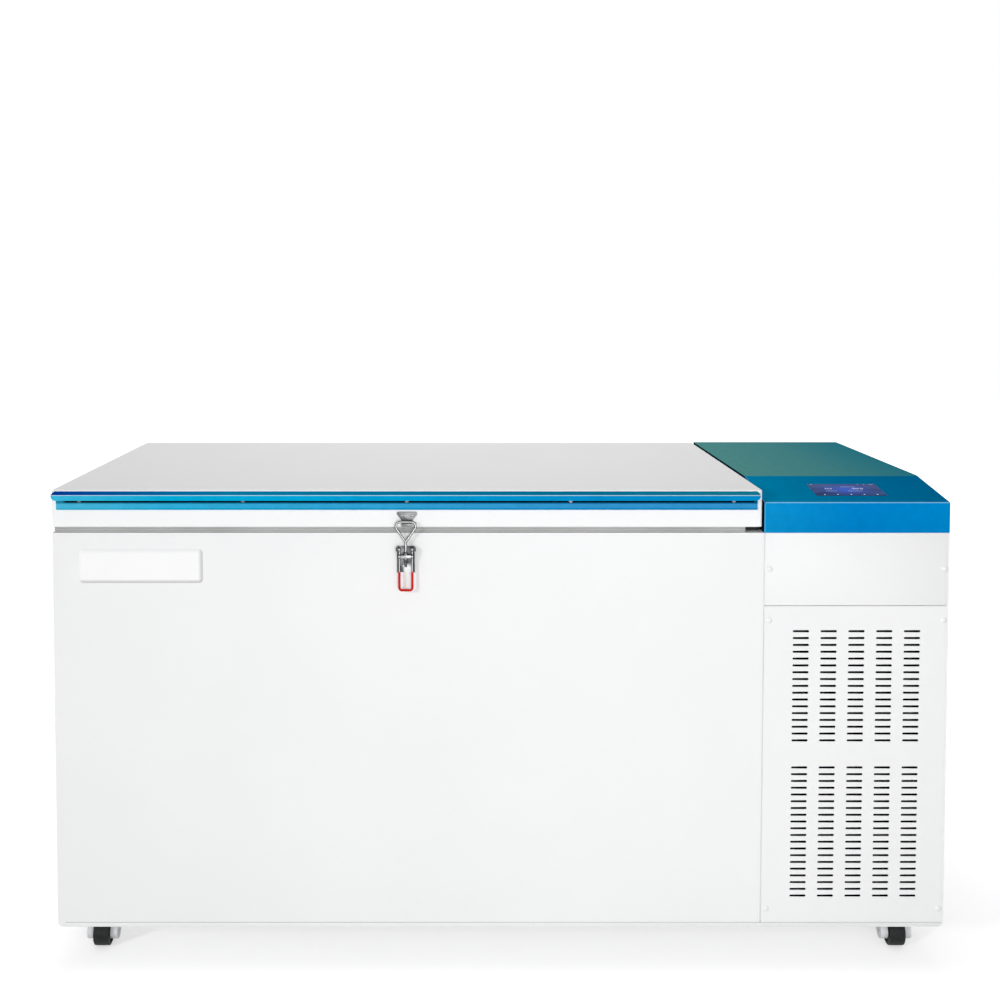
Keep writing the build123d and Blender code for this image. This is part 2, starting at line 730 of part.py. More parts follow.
# Trunnion bar that carries the shank between the lever's arms
lever_inside = lever_width - eye_width
with BuildPart() as latch_trunnion:
    with BuildSketch(Plane.XY.offset(trunnion_z - trunnion_height / 2)):
        with Locations((latch_x, latch_y)):
            Rectangle(lever_inside - 2 * fit_gap, trunnion_depth)
            Circle(shank_radius + running_clearance, mode=Mode.SUBTRACT)
    extrude(amount=trunnion_height)
    for side in (-1, 1):
        with BuildSketch(Plane.YZ.offset(latch_x + side * (lever_inside / 2 - fit_gap))):
            with Locations((latch_y, trunnion_z)):
                Circle(trunnion_journal)
        extrude(amount=side * (eye_width + fit_gap))
latch_trunnion.part.label = "latch_trunnion"
export_step(latch_trunnion.part, "parts/latch_trunnion.step")

# Nuts that lock the shank above and below the trunnion
nut_reach = trunnion_height / 2 + nut_gap
with BuildPart() as latch_nuts:
    for low in (trunnion_z + nut_reach, trunnion_z - nut_reach - nut_height):
        with BuildSketch(Plane.XY.offset(low)):
            with Locations((latch_x, latch_y)):
                RegularPolygon(nut_width / 2, 6, major_radius=False)
                Circle(shank_radius + running_clearance, mode=Mode.SUBTRACT)
        extrude(amount=nut_height)
latch_nuts.part.label = "latch_nuts"
export_step(latch_nuts.part, "parts/latch_nuts.step")

# Wire lever of the latch, with eyes for the pivot pins and the trunnion
lever_low = pivot_z - lever_length
with BuildPart() as latch_lever:
    with BuildLine() as lever_path:
        FilletPolyline(
            (latch_x - lever_width / 2, latch_y, pivot_z),
            (latch_x - lever_width / 2, latch_y, lever_low),
            (latch_x + lever_width / 2, latch_y, lever_low),
            (latch_x + lever_width / 2, latch_y, pivot_z),
            radius=lever_corner,
        )
    with BuildSketch(Plane(origin=lever_path.line @ 0, z_dir=lever_path.line % 0)):
        RegularPolygon(lever_wire_radius, wire_sides)
    sweep()
    for side in (-1, 1):
        eye_plane = Plane.YZ.offset(latch_x + side * lever_width / 2)
        with BuildSketch(eye_plane):
            with Locations((latch_y, pivot_z), (latch_y, trunnion_z)):
                Circle(eye_radius)
        extrude(amount=eye_width / 2, both=True)
        with BuildSketch(eye_plane):
            with Locations((latch_y, pivot_z)):
                Circle(pivot_radius + running_clearance)
            with Locations((latch_y, trunnion_z)):
                Circle(trunnion_journal + running_clearance)
        extrude(amount=eye_width, both=True, mode=Mode.SUBTRACT)
latch_lever.part.label = "latch_lever"
export_step(latch_lever.part, "parts/latch_lever.step")

# Dipped grip over the lower part of the lever
with BuildPart() as latch_grip:
    with BuildLine() as grip_path:
        FilletPolyline(
            (latch_x - lever_width / 2, latch_y, lever_low + grip_length),
            (latch_x - lever_width / 2, latch_y, lever_low),
            (latch_x + lever_width / 2, latch_y, lever_low),
            (latch_x + lever_width / 2, latch_y, lever_low + grip_length),
            radius=lever_corner,
        )
    with BuildSketch(Plane(origin=grip_path.line @ 0, z_dir=grip_path.line % 0)):
        grip_bore = lever_wire_radius + grip_clearance
        RegularPolygon(grip_bore + grip_wall, wire_sides, major_radius=False)
        RegularPolygon(grip_bore, wire_sides, major_radius=False, mode=Mode.SUBTRACT)
    sweep()
latch_grip.part.label = "latch_grip"
export_step(latch_grip.part, "parts/latch_grip.step")

# Base bracket of the latch: a channel with two cheeks
cheek_inside = lever_width / 2 + eye_width / 2 + base_side_gap
base_top = pivot_z + base_top_margin
with BuildPart() as latch_base:
    with BuildSketch(Plane.XZ.offset(-front_y)):
        with Locations((latch_x, base_top - base_length / 2)):
            Rectangle(2 * (cheek_inside + base_sheet), base_length)
    extrude(amount=base_sheet)
    for side in (-1, 1):
        with BuildSketch(Plane.YZ.offset(latch_x + side * cheek_inside)) as cheek:
            with BuildLine():
                Polyline(
                    (front_y, base_top),
                    (front_y - base_cheek_reach, base_top),
                    (front_y - base_cheek_reach, pivot_z - base_top_margin),
                    (front_y - base_foot_reach, trunnion_z - base_top_margin),
                    (front_y - base_foot_reach, base_top - base_length),
                    (front_y, base_top - base_length),
                    close=True,
                )
            make_face()
            with Locations((latch_y, pivot_z)):
                Circle(pivot_radius + running_clearance, mode=Mode.SUBTRACT)
        extrude(amount=side * base_sheet)
latch_base.part.label = "latch_base"
export_step(latch_base.part, "parts/latch_base.step")

# Two headed pins on which the lever turns
with BuildPart() as latch_pivot_pins:
    for side in (-1, 1):
        head_plane = Plane.YZ.offset(latch_x + side * (cheek_inside + base_sheet))
        with BuildSketch(head_plane):
            with Locations((latch_y, pivot_z)):
                Circle(pivot_head_radius)
        extrude(amount=side * pivot_head)
        with BuildSketch(head_plane):
            with Locations((latch_y, pivot_z)):
                Circle(pivot_radius)
        extrude(amount=-side * (base_sheet + base_side_gap + eye_width))
latch_pivot_pins.part.label = "latch_pivot_pins"
export_step(latch_pivot_pins.part, "parts/latch_pivot_pins.step")

# Lid hinges: cabinet leaves with two knuckles each, lid leaves with one, and pins
hinge_xs = (lid_mid_x - hinge_span / 2, lid_mid_x + hinge_span / 2)
hinge_y = back_y + hinge_offset
hinge_z = rim_z + lid_gap / 2
lid_back = front_y + lid_depth
knuckle_outside = hinge_width / 2
knuckle_inside = hinge_lid_knuckle / 2 + hinge_knuckle_gap
with BuildPart() as hinge_cabinet_leaves:
    for x in hinge_xs:
        with BuildSketch(Plane.XZ.offset(-back_y)):
            with Locations((x, rim_z - hinge_leaf_margin - hinge_leaf_height / 2)):
                Rectangle(hinge_width, hinge_leaf_height)
        extrude(amount=-hinge_leaf)
        for near, far in ((-knuckle_outside, -knuckle_inside), (knuckle_inside, knuckle_outside)):
            with BuildSketch(Plane.YZ.offset(x + near)):
                with Locations((hinge_y, hinge_z)):
                    Circle(hinge_barrel)
                with Locations((back_y + hinge_leaf / 2, rim_z - hinge_leaf_margin - hinge_root / 2)):
                    Rectangle(hinge_leaf, hinge_root)
                make_hull()
                with Locations((hinge_y, hinge_z)):
                    Circle(hinge_pin + running_clearance, mode=Mode.SUBTRACT)
            extrude(amount=far - near)
hinge_cabinet_leaves.part.label = "hinge_cabinet_leaves"
export_step(hinge_cabinet_leaves.part, "parts/hinge_cabinet_leaves.step")

with BuildPart() as hinge_lid_leaves:
    for x in hinge_xs:
        with BuildSketch(Plane.XZ.offset(-lid_back)):
            with Locations((x, lid_bottom + hinge_leaf_margin + hinge_leaf_height / 2)):
                Rectangle(hinge_width, hinge_leaf_height)
        extrude(amount=-hinge_leaf)
        with BuildSketch(Plane.YZ.offset(x)):
            with Locations((hinge_y, hinge_z)):
                Circle(hinge_barrel)
            with Locations((lid_back + hinge_leaf / 2, lid_bottom + hinge_leaf_margin + hinge_root / 2)):
                Rectangle(hinge_leaf, hinge_root)
            make_hull()
            with Locations((hinge_y, hinge_z)):
                Circle(hinge_pin + running_clearance, mode=Mode.SUBTRACT)
        extrude(amount=hinge_lid_knuckle / 2, both=True)
hinge_lid_leaves.part.label = "hinge_lid_leaves"
export_step(hinge_lid_leaves.part, "parts/hinge_lid_leaves.step")

with BuildPart() as hinge_pins:
    for x in hinge_xs:
        with BuildSketch(Plane.YZ.offset(x)):
            with Locations((hinge_y, hinge_z)):
                Circle(hinge_pin)
        extrude(amount=hinge_width / 2, both=True)
hinge_pins.part.label = "hinge_pins"
export_step(hinge_pins.part, "parts/hinge_pins.step")

# Casters: top plates with swivel race and kingpin, then a fork, an axle and a wheel for each corner
plate_low = pan_bottom - caster_plate_sheet
race_low = plate_low - race_height
crown_top = race_low - race_gap
crown_low = crown_top - fork_crown
leg_inside = wheel_width / 2 + fork_gap
fork_half = leg_inside + fork_leg
corners = {
    "front_left": (-caster_x, kingpin_ys[0]),
    "front_right": (caster_x, kingpin_ys[0]),
    "rear_left": (-caster_x, kingpin_ys[1]),
    "rear_right": (caster_x, kingpin_ys[1]),
}
with BuildPart() as caster_plates:
    with BuildSketch(Plane.XY.offset(plate_low)):
        with Locations(*corners.values()):
            Rectangle(caster_plate_length, caster_plate_width)
    extrude(amount=caster_plate_sheet)
    with BuildSketch(Plane.XY.offset(race_low)):
        with Locations(*corners.values()):
            Circle(race_radius)
    extrude(amount=race_height)
    with BuildSketch(Plane.XY.offset(race_low)):
        with Locations(*corners.values()):
            Circle(kingpin_radius)
    extrude(amount=-kingpin_length)
caster_plates.part.label = "caster_plates"
export_step(caster_plates.part, "parts/caster_plates.step")

for corner, (x, y) in corners.items():
    wheel_y = y - caster_trail
    with BuildPart() as caster_fork:
        for side in (-1, 1):
            with BuildSketch(Plane.YZ.offset(x + side * leg_inside)):
                with Locations((wheel_y, wheel_radius)):
                    Circle(fork_foot_radius)
                with Locations((y, (crown_top + crown_low) / 2)):
                    Rectangle(fork_crown_length, fork_crown)
                make_hull()
                with Locations((wheel_y, wheel_radius)):
                    Circle(axle_radius + running_clearance, mode=Mode.SUBTRACT)
            extrude(amount=side * fork_leg)
        with BuildSketch(Plane.XY.offset(crown_low)):
            with Locations((x, y)):
                Rectangle(2 * fork_half, fork_crown_length)
        extrude(amount=fork_crown)
        with BuildSketch(Plane.XY.offset(crown_low)):
            with Locations((x, y)):
                Circle(kingpin_radius + running_clearance)
        extrude(amount=fork_crown, mode=Mode.SUBTRACT)
    caster_fork.part.label = f"caster_fork_{corner}"
    export_step(caster_fork.part, f"parts/caster_fork_{corner}.step")

    with BuildPart() as caster_axle:
        with BuildSketch(Plane.YZ.offset(x)):
            with Locations((wheel_y, wheel_radius)):
                Circle(axle_radius)
        extrude(amount=fork_half, both=True)
    caster_axle.part.label = f"caster_axle_{corner}"
    export_step(caster_axle.part, f"parts/caster_axle_{corner}.step")

    with BuildPart() as caster_wheel:
        with BuildSketch(Plane.XZ.offset(-wheel_y)):
            with BuildLine():
                half = wheel_width / 2
                bore_z = wheel_radius + axle_radius + running_clearance
                Polyline(
                    (x - half, bore_z),
                    (x - half, 2 * wheel_radius - wheel_edge),
                    (x - half + wheel_edge, 2 * wheel_radius),
                    (x + half - wheel_edge, 2 * wheel_radius),
                    (x + half, 2 * wheel_radius - wheel_edge),
                    (x + half, bore_z),
                    close=True,
                )
            make_face()
        revolve(axis=Axis((x, wheel_y, wheel_radius), (1, 0, 0)))
    caster_wheel.part.label = f"caster_wheel_{corner}"
    export_step(caster_wheel.part, f"parts/caster_wheel_{corner}.step")

# Condenser coil behind the lower slots
condenser_y = frame_y + frame_sheet + condenser_gap
condenser_mid_z = pan_top + condenser_height / 2
with BuildPart() as condenser_coil:
    with BuildSketch(Plane.XZ.offset(-condenser_y)):
        with Locations((machine_mid_x, condenser_mid_z)):
            Rectangle(condenser_width, condenser_height)
    extrude(amount=-condenser_depth)
    with BuildSketch(Plane.XZ.offset(-condenser_y)):
        with Locations((machine_mid_x, condenser_mid_z)):
            Rectangle(condenser_width - 2 * condenser_border, condenser_height - 2 * condenser_border)
    extrude(amount=-condenser_recess, mode=Mode.SUBTRACT)
condenser_coil.part.label = "condenser_coil"
export_step(condenser_coil.part, "parts/condenser_coil.step")

# Fan shroud on the condenser, with a round mouth and an arm for the motor
shroud_y = condenser_y + condenser_depth
shroud_back = shroud_y + shroud_depth
with BuildPart() as fan_shroud:
    with BuildSketch(Plane.XZ.offset(-shroud_y)):
        with Locations((machine_mid_x, condenser_mid_z)):
            Rectangle(condenser_width, condenser_height)
    extrude(amount=-shroud_depth)
    offset(amount=-frame_sheet, openings=fan_shroud.faces().sort_by(Axis.Y)[0])
    with BuildSketch(Plane.XZ.offset(-shroud_back)):
        with Locations((machine_mid_x, condenser_mid_z)):
            Circle(fan_radius + fan_tip_gap)
    extrude(amount=frame_sheet, mode=Mode.SUBTRACT)
    with BuildSketch(Plane.XZ.offset(-shroud_back)):
        with Locations((machine_mid_x, condenser_mid_z)):
            Rectangle(fan_arm_width, condenser_height)
            Circle(fan_shaft_radius + fit_gap, mode=Mode.SUBTRACT)
    extrude(amount=-fan_arm_sheet)
fan_shroud.part.label = "fan_shroud"
export_step(fan_shroud.part, "parts/fan_shroud.step")

# Fan motor on the arm, bored for the fan's shaft
motor_y = shroud_back + fan_arm_sheet
with BuildPart() as fan_motor:
    with BuildSketch(Plane.XZ.offset(-motor_y)):
        with Locations((machine_mid_x, condenser_mid_z)):
            Circle(fan_motor_radius)
            Circle(fan_shaft_radius + running_clearance, mode=Mode.SUBTRACT)
    extrude(amount=-fan_motor_length)
fan_motor.part.label = "fan_motor"
export_step(fan_motor.part, "parts/fan_motor.step")

# Fan blades on a hub, with the shaft that runs in the motor
hub_back = shroud_back - fan_hub_gap
hub_mid = hub_back - fan_hub_length / 2
with BuildPart() as fan_blades:
    with BuildSketch(Plane.XZ.offset(-hub_back)):
        with Locations((machine_mid_x, condenser_mid_z)):
            Circle(fan_hub_radius)
    extrude(amount=fan_hub_length)
    with BuildSketch(Plane.XZ.offset(-hub_back)):
        with Locations((machine_mid_x, condenser_mid_z)):
            Circle(fan_shaft_radius)
    extrude(amount=-fan_hub_gap - fan_arm_sheet - fan_motor_length / 2)
    blade_length = fan_radius - fan_hub_radius / 2
    for blade in range(fan_blades_count):
        turn = Rotation(0, 360 * blade / fan_blades_count, 0)
        with Locations(Location((machine_mid_x, hub_mid, condenser_mid_z)) * turn):
            with Locations(Location((0, 0, fan_radius - blade_length / 2), (0, 0, fan_blade_pitch))):
                Box(fan_blade_chord, fan_blade_sheet, blade_length)
fan_blades.part.label = "fan_blades"
export_step(fan_blades.part, "parts/fan_blades.step")

# Hermetic compressors of the two stages, on rubber grommets
compressor_low = pan_top + grommet_height
shell_top = compressor_low + compressor_height
compressor_ys = {
    "high_stage_compressor": front_y + compressor_first,
    "low_stage_compressor": front_y + compressor_first + compressor_pitch,
}
for name, y in compressor_ys.items():
    with BuildPart() as compressor:
        with BuildSketch(Plane.XZ.offset(-y)):
            with BuildLine():
                Polyline(
                    (machine_mid_x, compressor_low),
                    (machine_mid_x + compressor_radius, compressor_low),
                    (machine_mid_x + compressor_radius, shell_top - compressor_dome),
                    (machine_mid_x + compressor_brow_radius, shell_top - compressor_brow),
                    (machine_mid_x + compressor_crown_radius, shell_top),
                    (machine_mid_x, shell_top),
                    close=True,
                )
            make_face()
        revolve(axis=Axis((machine_mid_x, y, 0), (0, 0, 1)))
        with BuildSketch(Plane.XY.offset(compressor_low)):
            with Locations((machine_mid_x, y)):
                Rectangle(compressor_foot_size, compressor_foot_size)
        extrude(amount=compressor_foot)
    compressor.part.label = name
    export_step(compressor.part, f"parts/{name}.step")

with BuildPart() as compressor_grommets:
    with BuildSketch(Plane.XY.offset(pan_top)):
        with Locations(*[(machine_mid_x, y) for y in compressor_ys.values()]):
            with GridLocations(compressor_foot_pitch, compressor_foot_pitch, 2, 2):
                Circle(grommet_radius)
    extrude(amount=grommet_height)
compressor_grommets.part.label = "compressor_grommets"
export_step(compressor_grommets.part, "parts/compressor_grommets.step")

# Upright vessels on the base pan
vessel_x = chest_right + vessel_wall_gap + separator_radius
between_y = front_y + compressor_first + compressor_pitch / 2
vessels = {
    "oil_separator": (vessel_x, between_y, separator_radius, separator_height),
    "filter_drier": (side_left - vessel_wall_gap - drier_radius, between_y, drier_radius, drier_height),
}
for name, (x, y, radius, height) in vessels.items():
    with BuildPart() as vessel:
        with BuildSketch(Plane.XY.offset(pan_top)):
            with Locations((x, y)):
                Circle(radius)
        extrude(amount=height)
        chamfer(vessel.edges().group_by(Axis.Z)[-1], radius * vessel_shoulder)
    vessel.part.label = name
    export_step(vessel.part, f"parts/{name}.step")

# Expansion tank, hung by two saddles on the rear panel above the exhaust slots
tank_x = side_left - vessel_wall_gap - tank_radius
tank_y = back_y - panel_depth - vessel_wall_gap - tank_radius
tank_low = pan_bottom + tank_base
saddle_low = tank_low + tank_saddle_rise
saddle_reach = back_y - sheet - tank_y
with BuildPart() as expansion_tank:
    with BuildSketch(Plane.XY.offset(tank_low)):
        with Locations((tank_x, tank_y)):
            Circle(tank_radius)
    extrude(amount=tank_height)
    tank_rims = expansion_tank.edges().filter_by(GeomType.CIRCLE)
    chamfer(tank_rims, tank_radius * vessel_shoulder)
    for low in (saddle_low, saddle_low + tank_saddle_pitch):
        with BuildSketch(Plane.XY.offset(low)):
            with Locations((tank_x, tank_y + saddle_reach / 2)):
                Rectangle(tank_saddle_width, saddle_reach)
        extrude(amount=tank_saddle_height)
expansion_tank.part.label = "expansion_tank"
export_step(expansion_tank.part, "parts/expansion_tank.step")

# Insulated cascade heat exchanger fixed to the partition
exchanger_low = pan_bottom + exchanger_base
exchanger_y = front_y + exchanger_setback + exchanger_depth / 2
with BuildPart() as cascade_heat_exchanger:
    with BuildSketch(Plane.XY.offset(exchanger_low)):
        with Locations((chest_right + exchanger_width / 2, exchanger_y)):
            Rectangle(exchanger_width, exchanger_depth)
    extrude(amount=exchanger_height)
cascade_heat_exchanger.part.label = "cascade_heat_exchanger"
export_step(cascade_heat_exchanger.part, "parts/cascade_heat_exchanger.step")

# Refrigerant lines: one from each compressor's crown to the heat exchanger, with brazed elbows
low_stage_y = compressor_ys["low_stage_compressor"]
high_stage_y = compressor_ys["high_stage_compressor"]
exchanger_face = chest_right + exchanger_width
exchanger_front = exchanger_y - exchanger_depth / 2
line_x = chest_right + exchanger_width / 2
line_z = exchanger_low + line_rise
with BuildPart() as refrigerant_lines:
    with BuildLine() as low_line:
        Polyline(
            (machine_mid_x, low_stage_y, shell_top),
            (machine_mid_x, low_stage_y, line_z),
            (exchanger_face, low_stage_y, line_z),
        )
    with BuildSketch(Plane.XY.offset(shell_top)):
        with Locations((machine_mid_x, low_stage_y)):
            Circle(line_radius)
    sweep(path=low_line.line, transition=Transition.RIGHT)
    with BuildLine() as high_line:
        Polyline(
            (machine_mid_x, high_stage_y, shell_top),
            (machine_mid_x, high_stage_y, line_z),
            (line_x, high_stage_y, line_z),
            (line_x, exchanger_front, line_z),
        )
    with BuildSketch(Plane.XY.offset(shell_top)):
        with Locations((machine_mid_x, high_stage_y)):
            Circle(line_radius)
    sweep(path=high_line.line, transition=Transition.RIGHT)
refrigerant_lines.part.label = "refrigerant_lines"
export_step(refrigerant_lines.part, "parts/refrigerant_lines.step")

# Electrical box behind the upper front panel, on partition and frame
with BuildPart() as electrical_box:
    with BuildSketch(Plane.XZ.offset(-frame_y - frame_sheet)):
        with Locations((chest_right + box_width / 2, split_z + box_rise + box_height / 2)):
            Rectangle(box_width, box_height)
    extrude(amount=-box_depth)
electrical_box.part.label = "electrical_box"
export_step(electrical_box.part, "parts/electrical_box.step")

# Power inlet in the rear panel
with BuildPart() as power_inlet:
    with BuildSketch(Plane.XZ.offset(-back_y)):
        with Locations((inlet_x, inlet_z)):
            Rectangle(inlet_width, inlet_height)
    extrude(amount=-inlet_flange)
    with BuildSketch(Plane.XZ.offset(-back_y)):
        with Locations((inlet_x, inlet_z)):
            Rectangle(inlet_body_width, inlet_body_height)
    extrude(amount=inlet_body_depth)
    with BuildSketch(Plane.XZ.offset(-back_y - inlet_flange)):
        with Locations((inlet_x, inlet_z)):
            Rectangle(inlet_socket_width, inlet_socket_height)
    extrude(amount=inlet_flange + inlet_socket_depth, mode=Mode.SUBTRACT)
power_inlet.part.label = "power_inlet"
export_step(power_inlet.part, "parts/power_inlet.step")

# Main switch: a frame in the rear panel and the rocker that turns in it
switch_inner_width = switch_body_width - 2 * switch_rim
switch_inner_height = switch_body_height - 2 * switch_rim
pin_y = back_y + inlet_flange - switch_depth / 2
with BuildPart() as switch_frame:
    with BuildSketch(Plane.XZ.offset(-back_y)):
        with Locations((switch_x, inlet_z)):
            Rectangle(switch_width, switch_height)
    extrude(amount=-inlet_flange)
    with BuildSketch(Plane.XZ.offset(-back_y)):
        with Locations((switch_x, inlet_z)):
            Rectangle(switch_body_width, switch_body_height)
    extrude(amount=switch_depth + switch_rim)
    with BuildSketch(Plane.XZ.offset(-back_y - inlet_flange)):
        with Locations((switch_x, inlet_z)):
            Rectangle(switch_inner_width, switch_inner_height)
    extrude(amount=inlet_flange + switch_depth, mode=Mode.SUBTRACT)
    with BuildSketch(Plane.YZ.offset(switch_x)):
        with Locations((pin_y, inlet_z)):
            Circle(rocker_pin + running_clearance)
    extrude(amount=switch_inner_width / 2 + switch_rim / 2, both=True, mode=Mode.SUBTRACT)
switch_frame.part.label = "switch_frame"
export_step(switch_frame.part, "parts/switch_frame.step")

with BuildPart() as switch_rocker:
    with BuildSketch(Plane.YZ.offset(switch_x)):
        with BuildLine():
            tip = switch_inner_height / 2 - rocker_gap
            face_y = back_y + inlet_flange
            Polyline(
                (pin_y - rocker_reach, inlet_z),
                (face_y, inlet_z - tip),
                (face_y, inlet_z + tip),
                close=True,
            )
        make_face()
    extrude(amount=switch_inner_width / 2 - rocker_fit, both=True)
    with BuildSketch(Plane.YZ.offset(switch_x)):
        with Locations((pin_y, inlet_z)):
            Circle(rocker_pin)
    extrude(amount=switch_inner_width / 2 + switch_rim / 2 - rocker_fit, both=True)
switch_rocker.part.label = "switch_rocker"
export_step(switch_rocker.part, "parts/switch_rocker.step")
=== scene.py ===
import json
import math

import bmesh
import bpy
from mathutils import Matrix, Vector


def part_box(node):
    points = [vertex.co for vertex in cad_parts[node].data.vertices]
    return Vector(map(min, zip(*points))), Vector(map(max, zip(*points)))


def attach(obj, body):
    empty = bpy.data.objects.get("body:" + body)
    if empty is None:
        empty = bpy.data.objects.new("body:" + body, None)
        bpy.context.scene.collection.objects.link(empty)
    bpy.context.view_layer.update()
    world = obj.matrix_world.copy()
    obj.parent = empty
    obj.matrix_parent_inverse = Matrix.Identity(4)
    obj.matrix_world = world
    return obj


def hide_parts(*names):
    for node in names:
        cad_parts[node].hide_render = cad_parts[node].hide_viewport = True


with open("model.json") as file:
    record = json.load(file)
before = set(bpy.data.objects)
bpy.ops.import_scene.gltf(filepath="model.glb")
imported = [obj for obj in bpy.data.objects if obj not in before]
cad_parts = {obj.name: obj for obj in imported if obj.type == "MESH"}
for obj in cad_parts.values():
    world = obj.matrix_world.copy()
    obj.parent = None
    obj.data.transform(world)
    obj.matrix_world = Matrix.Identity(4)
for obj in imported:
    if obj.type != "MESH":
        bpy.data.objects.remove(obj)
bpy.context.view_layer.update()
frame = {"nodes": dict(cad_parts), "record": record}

mm = 0.001
wholeTurn = 2 * math.pi
nodeBody = {node: body for body, group in frame["record"]["behaviour"]["bodies"].items() for node in group}
nodeSlot = {row["node"]: row["material_slot"] for row in frame["record"]["subparts"]}
corners = ("front_left", "front_right", "rear_left", "rear_right")
print("frame loaded:", len(frame["nodes"]), "nodes")


# Node helpers for the finishes

def startFinish(name):
    material = bpy.data.materials.new(name)
    material.use_nodes = True
    tree = material.node_tree
    shader = tree.nodes["Principled BSDF"]
    coords = tree.nodes.new("ShaderNodeTexCoord")
    return material, tree, shader, coords.outputs["Object"]


def setInputs(tree, node, values):
    # each value is a plain one or another node's socket
    for name, value in values.items():
        if isinstance(value, bpy.types.NodeSocket):
            tree.links.new(value, node.inputs[name])
        else:
            node.inputs[name].default_value = value


def addNode(tree, kind, values, **settings):
    node = tree.nodes.new("ShaderNode" + kind)
    for name, setting in settings.items():
        setattr(node, name, setting)
    setInputs(tree, node, values)
    return node.outputs


def placed(tree, vector, scale=(1, 1, 1), move=(0, 0, 0), turn=(0, 0, 0)):
    values = {"Vector": vector, "Scale": scale, "Location": move, "Rotation": turn}
    return addNode(tree, "Mapping", values)["Vector"]


def noise(tree, vector, scale, detail=4.0):
    return addNode(tree, "TexNoise", {"Vector": vector, "Scale": scale, "Detail": detail})["Fac"]


def cells(tree, vector, scale, output="Distance"):
    return addNode(tree, "TexVoronoi", {"Vector": vector, "Scale": scale})[output]


def ramp(tree, value, stops):
    node = tree.nodes.new("ShaderNodeValToRGB")
    elements = node.color_ramp.elements
    while len(elements) < len(stops):
        elements.new(0.5)
    for element, (place, colour) in zip(elements, stops):
        element.position = place
        element.color = (*colour, 1)
    tree.links.new(value, node.inputs["Fac"])
    return node.outputs["Color"]


def grey(level):
    return (level, level, level)


def tones(tree, value, stops):
    return ramp(tree, value, [(place, grey(level)) for place, level in stops])


def blended(tree, factor, first, second, mode="MIX"):
    values = {"Factor": factor, "A": first, "B": second}
    return addNode(tree, "Mix", values, data_type="RGBA", blend_type=mode)["Result"]


def multiplied(tree, first, second):
    return blended(tree, 1.0, first, second, "MULTIPLY")


def ranged(tree, value, low, high, start=0.0, end=1.0):
    # what runs from start to end comes out from low to high
    limits = {"From Min": start, "From Max": end, "To Min": low, "To Max": high}
    return addNode(tree, "MapRange", {"Value": value, **limits})["Result"]


def computed(tree, operation, first, second):
    return addNode(tree, "Math", {0: first, 1: second}, operation=operation)["Value"]


def axisPart(tree, vector, axis):
    return addNode(tree, "SeparateXYZ", {"Vector": vector})[axis]


def facingValue(tree, axis, way=1.0):
    # how far the surface faces along an axis of the piece, the other way with way = -1
    normal = addNode(tree, "TexCoord", {})["Normal"]
    return computed(tree, "MULTIPLY", axisPart(tree, normal, axis), way)


def alongAxis(tree, coords, axis, low, high):
    return ranged(tree, axisPart(tree, coords, axis), 0.0, 1.0, low, high)


def bumped(tree, shader, height, depth, strength):
    values = {"Height": height, "Distance": depth, "Strength": strength}
    tree.links.new(addNode(tree, "Bump", values)["Normal"], shader.inputs["Normal"])


layerPlan = {
    "patchStops": (0.3, 0.7), "patchDetail": 5.0, "smearShare": 4.0, "smearDetail": 3.0,
    "grainDetail": 2.0, "strength": 0.5, "specular": 0.5,
}


def layered(name, look):
    # patches of two tones, smeared gloss and a fine grain
    plan = layerPlan
    material, tree, shader, coords = startFinish(name)
    stretched = placed(tree, coords, scale=look.get("stretch", (1, 1, 1)))
    patches = noise(tree, stretched, look["patch"], plan["patchDetail"])
    smears = noise(tree, stretched, look["patch"] * plan["smearShare"], plan["smearDetail"])
    grain = noise(tree, stretched, look["grain"], plan["grainDetail"])
    dark, pale = plan["patchStops"]
    setInputs(tree, shader, {
        "Base Color": ramp(tree, patches, ((dark, look["shade"]), (pale, look["colour"]))),
        "Roughness": ranged(tree, smears, *look["rough"]),
        "Metallic": look.get("metal", 0.0),
        "Specular IOR Level": look.get("specular", plan["specular"]),
    })
    bumped(tree, shader, grain, look["depth"], plan["strength"])
    return material, tree, shader, coords


# Finishes

